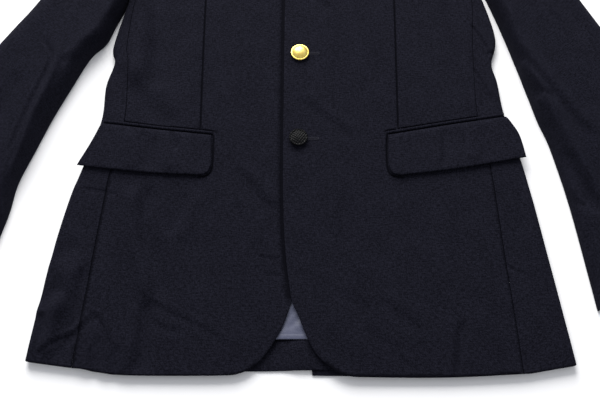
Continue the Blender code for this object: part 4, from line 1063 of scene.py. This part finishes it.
def collar_row(foot_x, foot_y, fold_x, fold_y, edge_x, edge_y, turn):
    """Middle points across the collar: up the stand, round the fold and down the fall."""
    turn = min(max(turn, -1.0), 1.0)
    foot, fold, edge = np.array(((foot_x, foot_y), (fold_x, fold_y), (edge_x, edge_y)))
    outward = (edge - fold) / np.linalg.norm(edge - fold)
    tip = (fold - foot) / np.linalg.norm(fold - foot)
    start = fold + outward * FOLD_GAP * math.sqrt(1 - turn * turn)
    stand = foot + (fold - foot) * np.linspace(0.0, 1.0, STAND_POINTS)[:, None]
    fall = start + (edge - start) * np.linspace(0.0, 1.0, FALL_POINTS)[:, None]
    stand_height = collar_level(stand, turn, -FRONT_CLOTH / 2, COLLAR_FLOOR + FOLD_GAP)
    fall_height = collar_level(fall, turn, LAYER_GAP + COLLAR_CLOTH / 2, COLLAR_FLOOR)
    angles = np.radians(np.linspace(0.0, 180.0, FOLD_POINTS))[:, None]
    share = (1 - np.cos(angles)) / 2
    bend = fold + (start - fold) * share + tip * np.sin(angles) * FOLD_GAP / 2
    bend_height = stand_height[-1] + (fall_height[0] - stand_height[-1]) * share[:, 0]
    plan = np.concatenate((stand[:-1], bend, fall[1:]))
    return np.column_stack((plan, np.concatenate((stand_height[:-1], bend_height, fall_height[1:]))))


def collar():
    """Collar: folded over on the fronts, round the shoulder seams and beneath the back of the neck."""
    half = np.array([collar_row(*section) for section in curve(COLLAR_SECTIONS, GRID_STEP)])
    middle = np.concatenate((half, half[-2::-1] * (-1, 1, 1)))
    normal = np.cross(np.gradient(middle, axis=0), np.gradient(middle, axis=1))
    normal /= np.linalg.norm(normal, axis=2, keepdims=True)
    outer = middle + normal * COLLAR_CLOTH / 2
    inner = middle - normal * COLLAR_CLOTH / 2
    return grid_cloth("collar_cloth", outer, inner, grid_layout(middle))


def evened(rows, reach):
    """Rows of numbers evened out along their run, with both ends kept."""
    padded = np.concatenate((2 * rows[0] - rows[reach:0:-1], rows, 2 * rows[-1] - rows[-2:-reach - 2:-1]))
    weights = np.hanning(2 * reach + 3)[1:-1]
    return np.array([np.convolve(column, weights / weights.sum(), "valid") for column in padded.T]).T


def sleeve_sections(side):
    """Sections of a sleeve, armhole to cuff, kept clear of the body and bent less and less."""
    body = side_rows(side)
    sections, travelled, before = [], 0.0, None
    rows = curve(SLEEVE_SECTIONS[side], SLEEVE_STEP)
    heights = evened(rows[:, 4:], SLEEVE_EVENING)
    for row, (height, ridge) in zip(evened(rows[:, :4], PLAN_EVENING), heights):
        inner, outer = row[0:2].copy(), row[2:4]
        if inner[1] < ARMPIT_Y:
            inner[0] = max(inner[0], float(np.interp(inner[1], body[:, 0], body[:, 1])) + SLEEVE_CLEARANCE)
        middle = (inner + outer) / 2
        if before is not None:
            travelled += float(np.linalg.norm(middle - before))
        before = middle
        bend = 1 - float(ease(travelled / SLEEVE_HEAD_REACH))
        sections.append(Section(inner, outer, float(np.linalg.norm(outer - inner)), height, ridge, bend))
    return sections


@functools.cache
def sleeve_head():
    """Armhole edge of a left sleeve, underarm to shoulder."""
    return curve(SLEEVE_HEAD, GRID_STEP)


def across_sleeve(section, reach):
    """Plan points of a section at distances from its inner edge, bent as the armhole is."""
    share = reach / section.width
    head = sleeve_head()
    head_y = head[0, 1] + (head[-1, 1] - head[0, 1]) * share
    straight_x = head[0, 0] + (head[-1, 0] - head[0, 0]) * share
    set_off = np.interp(head_y, head[:, 1], head[:, 0]) - straight_x
    plan = section.inner + (section.outer - section.inner) * share[:, None]
    plan[:, 0] += set_off * section.bend
    return plan


def sleeve_profile(width, height, ridge):
    """Reach and height of the points across a sleeve's top, from its inner to its outer edge."""
    near = ridge * (1 - np.cos(np.linspace(0.0, math.pi / 2, INNER_EDGE_POINTS)))
    flat = np.linspace(ridge, width - SLEEVE_OUTER_ROUND, SLEEVE_TOP_POINTS)[1:-1]
    far = width - SLEEVE_OUTER_ROUND * (1 - np.cos(np.linspace(math.pi / 2, 0.0, OUTER_EDGE_POINTS)))
    reach = np.concatenate((near, flat, far))
    sides = quarter_round(reach / ridge) * quarter_round((width - reach) / SLEEVE_OUTER_ROUND)
    crest = RIDGE_HEIGHT * np.exp(-((reach - ridge) / RIDGE_WIDTH) ** 2)
    sag = MID_SLEEVE_SAG * np.sin(math.pi * np.clip((reach - ridge) / (width - ridge), 0.0, 1.0))
    return reach, (height + crest - sag) * sides


def top_sleeve(side):
    """Upper sleeve: a hollow arch that stands on its two edges, open at the armhole and the cuff."""
    sign = SIDES[side]
    outer, inner = [], []
    for section in sleeve_sections(side):
        reach, top = sleeve_profile(section.width, section.height, section.ridge)
        run, rise = np.gradient(reach), np.gradient(top)
        length = np.hypot(run, rise)
        hollow_reach = reach + rise / length * SLEEVE_CLOTH
        hollow = np.maximum(top - run / length * SLEEVE_CLOTH, 0.0)
        outer.append(np.column_stack((across_sleeve(section, reach) * (sign, 1), top)))
        inner.append(np.column_stack((across_sleeve(section, hollow_reach) * (sign, 1), hollow)))
    outer, inner = np.array(outer), np.array(inner)
    for grid in (outer, inner):
        soft = creased(grid[..., 0], grid[..., 1], SLEEVE_CREASES[side])
        grid[..., 2] += soft * np.clip(grid[..., 2] / SLEEVE_FOOT, 0, 1)
    layout = grid_layout(outer)
    if side == "right":
        outer, inner, layout = outer[::-1], inner[::-1], layout[::-1]
    return grid_cloth(f"top_sleeve_{side}_cloth", outer, inner, layout)


def under_sleeve(side):
    """Under sleeve: the strip on the floor between the edges of the upper sleeve."""
    shares = np.linspace(0.0, 1.0, UNDER_SLEEVE_POINTS)
    rows = []
    for section in sleeve_sections(side):
        reach = UNDER_SLEEVE_INSET + (section.width - 2 * UNDER_SLEEVE_INSET) * shares
        rows.append(across_sleeve(section, reach) * (SIDES[side], 1))
    plan = np.array(rows)
    if side == "right":
        plan = plan[::-1]
    inner = np.concatenate((plan, np.zeros(plan.shape[:2] + (1,))), axis=2)
    outer = inner + (0, 0, UNDER_SLEEVE_CLOTH)
    return grid_cloth(f"under_sleeve_{side}_cloth", outer, inner, grid_layout(outer))


# ---- buttons and sewing ---------------------------------------------------------------------------

def at(x, y, z):
    """A place in metres from millimetres in the tables."""
    return ((x - MIDDLE[0]) * METRES, (y - MIDDLE[1]) * METRES, z * METRES)


def settle(piece):
    """Keep a piece's place in its mesh, with its object at the origin."""
    bpy.ops.object.select_all(action="DESELECT")
    piece.select_set(True)
    bpy.context.view_layer.objects.active = piece
    bpy.ops.object.transform_apply(location=True, rotation=True, scale=True)
    return piece


def button(name, x, y, profile):
    """A turned button: a disc drawn up ring by ring along its profile, then made smooth."""
    base = float(front_top("left", np.array(x), np.array(y))) + BUTTON_GAP
    bpy.ops.object.select_all(action="DESELECT")
    bpy.ops.mesh.primitive_circle_add(
        vertices=BUTTON_SIDES, radius=profile[0][0] * METRES, fill_type="NGON", location=at(x, y, base))
    piece = bpy.context.object
    piece.name = f"{name}_made"
    settle(piece)
    bpy.ops.object.mode_set(mode="EDIT")
    bpy.ops.mesh.select_all(action="SELECT")
    for (radius, height), (next_radius, next_height) in zip(profile, profile[1:]):
        bpy.ops.mesh.extrude_region_move(
            TRANSFORM_OT_translate={"value": (0, 0, (next_height - height) * METRES)})
        scale = next_radius / radius
        bpy.ops.transform.resize(value=(scale, scale, 1.0), center_override=at(x, y, base + next_height))
    bpy.ops.mesh.poke()
    bpy.ops.mesh.select_all(action="SELECT")
    bpy.ops.mesh.normals_make_consistent(inside=False)
    bpy.ops.object.mode_set(mode="OBJECT")
    smooth = piece.modifiers.new("smooth", "SUBSURF")
    smooth.levels = smooth.render_levels = 1
    bpy.ops.object.modifier_apply(modifier=smooth.name)
    piece.data.shade_smooth()
    lay_out(piece, at(x, y, base))
    return piece


def lay_out(piece, centre):
    """UV map of a small piece: its plan, from its own centre, in metres."""
    mesh = piece.data
    for old in list(mesh.uv_layers):
        mesh.uv_layers.remove(old)
    layout = mesh.uv_layers.new(name="layout")
    for corner in mesh.loops:
        place = mesh.vertices[corner.vertex_index].co
        layout.data[corner.index].uv = (place.x - centre[0], place.y - centre[1])


def stitch():
    """Points and facets of one stitch that lies across the slit, about its own middle."""
    bpy.ops.object.select_all(action="DESELECT")
    bpy.ops.mesh.primitive_cylinder_add(
        vertices=STITCH_SIDES, radius=STITCH_RADIUS * METRES, depth=STITCH_LENGTH * METRES,
        rotation=(math.pi / 2, 0, 0))
    piece = settle(bpy.context.object)
    bevel = piece.modifiers.new("soft", "BEVEL")
    bevel.width = STITCH_SOFTNESS * STITCH_RADIUS * METRES
    bpy.ops.object.modifier_apply(modifier=bevel.name)
    shape = np.array([vertex.co for vertex in piece.data.vertices])
    facets = [list(polygon.vertices) for polygon in piece.data.polygons]
    bpy.data.objects.remove(piece)
    return shape, facets


def stitch_places(x, y):
    """Place and turn of every stitch: along both lips of the slit, then round its outer end."""
    reach = SLIT_HALF + STITCH_LENGTH / 2
    places = []
    for step in np.arange(0.0, BUTTONHOLE_LENGTH, STITCH_PITCH):
        places += [(x + step, y + lip * reach, 0.0) for lip in (-1, 1)]
    end = x + BUTTONHOLE_LENGTH
    for turn in END_TURNS:
        places.append((end + reach * math.cos(turn), y + reach * math.sin(turn), turn - math.pi / 2))
    return places


def buttonhole(name, x, y):
    """Worked buttonhole: one row of close stitches on the left front."""
    shape, facets = stitch()
    places = np.array(stitch_places(x, y))
    heights = front_top("left", places[:, 0], places[:, 1]) + STITCH_LIFT
    heights += STITCH_UNEVEN * (np.arange(len(places)) % STITCH_HEIGHTS)
    points, faces = [], []
    for (place_x, place_y, turn), height in zip(places, heights):
        cos, sin = math.cos(turn), math.sin(turn)
        turned = shape @ np.array(((cos, sin, 0), (-sin, cos, 0), (0, 0, 1)))
        faces += [[corner + len(points) for corner in facet] for facet in facets]
        points += (turned + at(place_x, place_y, height)).tolist()
    mesh = bpy.data.meshes.new(name)
    mesh.from_pydata(points, [], faces)
    mesh.shade_smooth()
    piece = bpy.data.objects.new(name, mesh)
    bpy.context.scene.collection.objects.link(piece)
    lay_out(piece, at(x, y, 0.0))
    return piece


# ---- finishes -------------------------------------------------------------------------------------

def finish(name):
    """A new material, its nodes and its surface shader."""
    material = bpy.data.materials.new(name)
    material.use_nodes = True
    tree = material.node_tree
    return material, tree, tree.nodes["Principled BSDF"]


def math_node(tree, operation, first, second):
    """A maths node on two values, each a number or a socket."""
    node = tree.nodes.new("ShaderNodeMath")
    node.operation = operation
    for socket, value in zip(node.inputs, (first, second)):
        if isinstance(value, (int, float)):
            socket.default_value = value
        else:
            tree.links.new(value, socket)
    return node.outputs[0]


def weighted_sum(tree, parts):
    """Sum of values, each times its weight."""
    products = [math_node(tree, "MULTIPLY", value, weight) for value, weight in parts]
    return functools.reduce(lambda total, product: math_node(tree, "ADD", total, product), products)


def noise(tree, vector, scale, detail=2.0, roughness=0.5):
    """Cloudy value from 0 to 1."""
    node = tree.nodes.new("ShaderNodeTexNoise")
    node.inputs["Scale"].default_value = scale
    node.inputs["Detail"].default_value = detail
    node.inputs["Roughness"].default_value = roughness
    tree.links.new(vector, node.inputs["Vector"])
    return node.outputs["Fac"]


def bands(tree, vector, scale, turn, distortion=0.0):
    """Soft parallel ribs, turned in the plane of the cloth."""
    mapping = tree.nodes.new("ShaderNodeMapping")
    mapping.inputs["Rotation"].default_value = (0.0, 0.0, turn)
    tree.links.new(vector, mapping.inputs["Vector"])
    node = tree.nodes.new("ShaderNodeTexWave")
    node.inputs["Scale"].default_value = scale
    node.inputs["Distortion"].default_value = distortion
    node.inputs["Detail"].default_value = 1.0
    tree.links.new(mapping.outputs["Vector"], node.inputs["Vector"])
    return node.outputs["Fac"]


def weave_group():
    """Woven cloth: twill ribs, crossing threads and uneven yarn, as a mottle and a height."""
    tree = bpy.data.node_groups.new("weave", "ShaderNodeTree")
    tree.interface.new_socket("Layout", in_out="INPUT", socket_type="NodeSocketVector")
    for name in ("Rib", "Yarn", "Nap"):
        socket = tree.interface.new_socket(name, in_out="INPUT", socket_type="NodeSocketFloat")
        socket.default_value = 0.5
    for name in ("Mottle", "Height"):
        tree.interface.new_socket(name, in_out="OUTPUT", socket_type="NodeSocketFloat")
    given, made = tree.nodes.new("NodeGroupInput"), tree.nodes.new("NodeGroupOutput")
    layout, ribs, yarns, naps = (given.outputs[name] for name in ("Layout", "Rib", "Yarn", "Nap"))
    rib = bands(tree, layout, scale=250.0, turn=math.radians(58.0), distortion=1.5)
    warp = noise(tree, stretched(tree, layout, (800.0, 240.0, 1.0)), scale=1.0)
    weft = noise(tree, stretched(tree, layout, (220.0, 760.0, 1.0)), scale=1.0)
    nap = noise(tree, layout, scale=620.0, detail=3.0, roughness=0.7)
    yarn = weighted_sum(tree, ((warp, WARP_SHARE), (weft, WEFT_SHARE)))
    total = weighted_sum(tree, ((rib, ribs), (yarn, yarns), (nap, naps)))
    weights = math_node(tree, "ADD", math_node(tree, "ADD", ribs, yarns), naps)
    height = math_node(tree, "DIVIDE", total, weights)
    tree.links.new(height, made.inputs["Height"])
    dye = math_node(tree, "MULTIPLY", noise(tree, layout, scale=40.0, detail=3.0, roughness=0.6), UNEVEN_DYE)
    dye = math_node(tree, "SUBTRACT", dye, UNEVEN_DYE / 2)
    tree.links.new(math_node(tree, "ADD", height, dye), made.inputs["Mottle"])
    return tree


def stretched(tree, vector, scale):
    """A layout drawn out by a scale on each of its axes."""
    mapping = tree.nodes.new("ShaderNodeMapping")
    mapping.inputs["Scale"].default_value = scale
    tree.links.new(vector, mapping.inputs["Vector"])
    return mapping.outputs["Vector"]


def colour(tree, shader, factor, reach, colours):
    """Colour a surface from dark to light as a value goes through its reach."""
    node = tree.nodes.new("ShaderNodeValToRGB")
    for element, position, shade in zip(node.color_ramp.elements, reach, colours):
        element.position = position
        element.color = (*shade, 1.0)
    tree.links.new(factor, node.inputs["Fac"])
    tree.links.new(node.outputs["Color"], shader.inputs["Base Color"])


def bump(tree, shader, height, strength, distance):
    """Give a surface the relief of a height."""
    node = tree.nodes.new("ShaderNodeBump")
    node.inputs["Strength"].default_value = strength
    node.inputs["Distance"].default_value = distance
    tree.links.new(height, node.inputs["Height"])
    tree.links.new(node.outputs["Normal"], shader.inputs["Normal"])


def layout_vector(tree):
    """A piece's flat layout."""
    node = tree.nodes.new("ShaderNodeUVMap")
    node.uv_map = "layout"
    return node.outputs["UV"]


def set_values(shader, **values):
    """Set inputs of a shader, named in plain words."""
    for name, value in values.items():
        shader.inputs[name.replace("_", " ").title().replace("Ior", "IOR")].default_value = value


def woven(name, weave, threads, mottle, colours, relief):
    """A cloth finish: its colour and bump follow the weave, and painted shade darkens its colour where the
    'fold' attribute marks a groove.
    """
    material, tree, shader = finish(name)
    group = tree.nodes.new("ShaderNodeGroup")
    group.node_tree = weave
    for socket, value in threads.items():
        group.inputs[socket].default_value = value
    tree.links.new(layout_vector(tree), group.inputs["Layout"])
    # Painted shade: the 'fold' attribute darkens the colour along grooves, seams and hems.
    fold = tree.nodes.new("ShaderNodeAttribute")
    fold.attribute_name = "fold"
    sunk = math_node(tree, "MULTIPLY", fold.outputs["Fac"], PAINTED_SHADE_STRENGTH)
    colour(tree, shader, math_node(tree, "SUBTRACT", group.outputs["Mottle"], sunk), mottle, colours)
    bump(tree, shader, group.outputs["Height"], **relief)
    return material, shader


def navy_wool(weave):
    """Matt wool: fine twill under a short nap, mottled dark navy."""
    material, shader = woven(
        "navy_wool_cloth", weave, threads={"Rib": 0.2, "Yarn": 1.0, "Nap": 0.9}, mottle=(0.42, 0.62),
        colours=NAVY, relief={"strength": 0.8, "distance": 0.0006})
    set_values(
        shader, roughness=0.85, specular_ior_level=0.02, sheen_weight=0.01, sheen_roughness=0.5,
        sheen_tint=(0.62, 0.66, 0.9, 1.0))
    return material


def lining_satin(weave):
    """Smooth lining with a soft sheen."""
    material, shader = woven(
        "lining_satin", weave, threads={"Rib": 0.2, "Yarn": 0.8, "Nap": 0.3}, mottle=(0.38, 0.66),
        colours=SATIN, relief={"strength": 0.12, "distance": 0.0002})
    set_values(
        shader, roughness=0.42, specular_ior_level=0.5, sheen_weight=0.15, sheen_roughness=0.4,
        sheen_tint=(0.8, 0.84, 1.0, 1.0))
    return material


def gold_metal():
    """Polished gilt with a faint hammered grain."""
    material, tree, shader = finish("gold_metal_gilt")
    layout = layout_vector(tree)
    grain = noise(tree, layout, scale=900.0)
    soft = noise(tree, layout, scale=260.0, detail=1.0)
    colour(tree, shader, soft, reach=(0.3, 0.75), colours=GOLD)
    set_values(shader, metallic=1.0, roughness=0.42)
    bump(tree, shader, math_node(tree, "ADD", grain, soft), strength=0.35, distance=0.0002)
    return material


def dark_button_finish():
    """Dark button with a woven relief of crossing strands."""
    material, tree, shader = finish("dark_button_horn")
    layout = layout_vector(tree)
    strands = [bands(tree, layout, scale=130.0, turn=math.radians(turn)) for turn in (35.0, -55.0)]
    relief = math_node(tree, "MAXIMUM", *strands)
    colour(tree, shader, relief, reach=(0.3, 0.95), colours=HORN)
    set_values(shader, roughness=0.3, specular_ior_level=0.05)
    bump(tree, shader, relief, strength=0.7, distance=0.0006)
    return material


def thread_finish():
    """Twisted sewing thread, a little lighter than the cloth."""
    material, tree, shader = finish("navy_thread")
    fleck = noise(tree, layout_vector(tree), scale=1800.0, detail=1.0)
    colour(tree, shader, fleck, reach=(0.3, 0.7), colours=THREAD)
    set_values(shader, roughness=0.8, specular_ior_level=0.1)
    bump(tree, shader, fleck, strength=0.3, distance=0.0001)
    return material


def floor_finish():
    """Matt pale floor."""
    material, tree, shader = finish("pale_floor")
    where = tree.nodes.new("ShaderNodeTexCoord").outputs["Object"]
    colour(tree, shader, noise(tree, where, scale=3.0), reach=(0.2, 0.8), colours=PALE_FLOOR)
    set_values(shader, roughness=0.9, specular_ior_level=0.1)
    return material


# ---- scene ----------------------------------------------------------------------------------------

def flat_cut(piece):
    """Width, length and area of a cloth's flat layout, in metres."""
    mesh = piece.data
    layout = np.zeros(2 * len(mesh.loops), np.float32)
    starts = np.zeros(len(mesh.polygons), np.int32)
    mesh.uv_layers["layout"].data.foreach_get("uv", layout)
    mesh.polygons.foreach_get("loop_start", starts)
    layout = layout.reshape(-1, 2).astype(float)
    after = np.roll(layout, -1, axis=0)
    after[np.append(starts[1:], len(layout)) - 1] = layout[starts]
    turned = layout[:, 0] * after[:, 1] - after[:, 0] * layout[:, 1]
    both_faces = np.abs(np.add.reduceat(turned, starts)).sum() / 2
    width, length = layout.max(axis=0) - layout.min(axis=0)
    return round(float(width), 3), round(float(length), 3), float(both_faces) / 2


def wear(piece, material, node=None):
    """Give a piece its finish, hide the solid it stands for, and let it ride on the body."""
    piece.data.materials.clear()
    piece.data.materials.append(material)
    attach(piece, "root")
    if node:
        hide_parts(node)
    return piece


def lay(piece):
    """Work out the width, length and area of a cloth's flat layout; nothing further is done with them."""
    width, length, area = flat_cut(piece)


def make_cloths():
    """Every cloth of the garment by its node's name, in place of its solid."""
    weave = weave_group()
    wool = navy_wool(weave)
    made = {}
    for side in SIDES:
        for make in (back, side_panel, front, lapel, flap, welt, top_sleeve, under_sleeve):
            node = f"{make.__name__}_{side}"
            made[node] = wear(make(side), wool, node)
    made["back_lining"] = wear(lining(), lining_satin(weave), "back_lining")
    made["collar"] = wear(collar(), wool, "collar")
    return made


def make_fastenings():
    """The three buttons and their buttonholes."""
    thread = thread_finish()
    finishes = {"gold_metal": gold_metal(), "dark_button": dark_button_finish()}
    made = []
    for name, x, y, slot, profile in BUTTONS:
        made.append(wear(button(name, x, y, profile), finishes[slot], name))
        made.append(wear(buttonhole(name.replace("button", "buttonhole"), x, y), thread))
    return made


def dress():
    """The whole garment, and the flat cut of each of its cloths worked out."""
    made = make_cloths()
    fastenings = make_fastenings()
    for side in SIDES:
        below = made[f"front_{side}"]
        lay(below)
        for part in ("lapel", "flap"):
            lay(made[f"{part}_{side}"])
        for part in ("back", "side_panel", "top_sleeve", "under_sleeve"):
            lay(made[f"{part}_{side}"])
    lay(made["back_lining"])
    lay(made["collar"])


def lay_floor():
    """Pale floor, a little below the lowest cloth."""
    bpy.ops.object.select_all(action="DESELECT")
    bpy.ops.mesh.primitive_plane_add(size=FLOOR_SIZE, location=(0, 0, -FLOOR_DROP))
    floor = settle(bpy.context.object)
    floor.name = "floor"
    floor.data.materials.append(floor_finish())


def put(name, data, place, turn):
    """A lamp or a camera in its place."""
    item = bpy.data.objects.new(name, data)
    item.location = place
    item.rotation_euler = turn
    bpy.context.scene.collection.objects.link(item)
    return item


def light():
    """Soft lamp beyond the collar, in an even pale sky."""
    lamp = bpy.data.lights.new("key_light", "AREA")
    lamp.size, lamp.energy, lamp.color = KEY_SIZE, KEY_WATTS, KEY_COLOUR
    put("key_light", lamp, KEY_PLACE, (-Vector(KEY_PLACE)).to_track_quat("-Z", "Y").to_euler())
    world = bpy.data.worlds.new("studio")
    world.use_nodes = True
    sky = world.node_tree.nodes["Background"]
    sky.inputs["Color"].default_value = (*SKY_COLOUR, 1.0)
    sky.inputs["Strength"].default_value = SKY_STRENGTH
    bpy.context.scene.world = world


def camera():
    """Close frame on the lower part of the body and the sleeves, with plain colours."""
    scene = bpy.context.scene
    lens = bpy.data.cameras.new("camera")
    lens.lens, lens.sensor_width = CAMERA_LENS, CAMERA_SENSOR
    scene.camera = put("camera", lens, CAMERA_PLACE, (math.radians(CAMERA_TILT), 0.0, 0.0))
    scene.view_settings.view_transform = "Standard"
    scene.view_settings.look = "None"


light()
camera()
lay_floor()
dress()
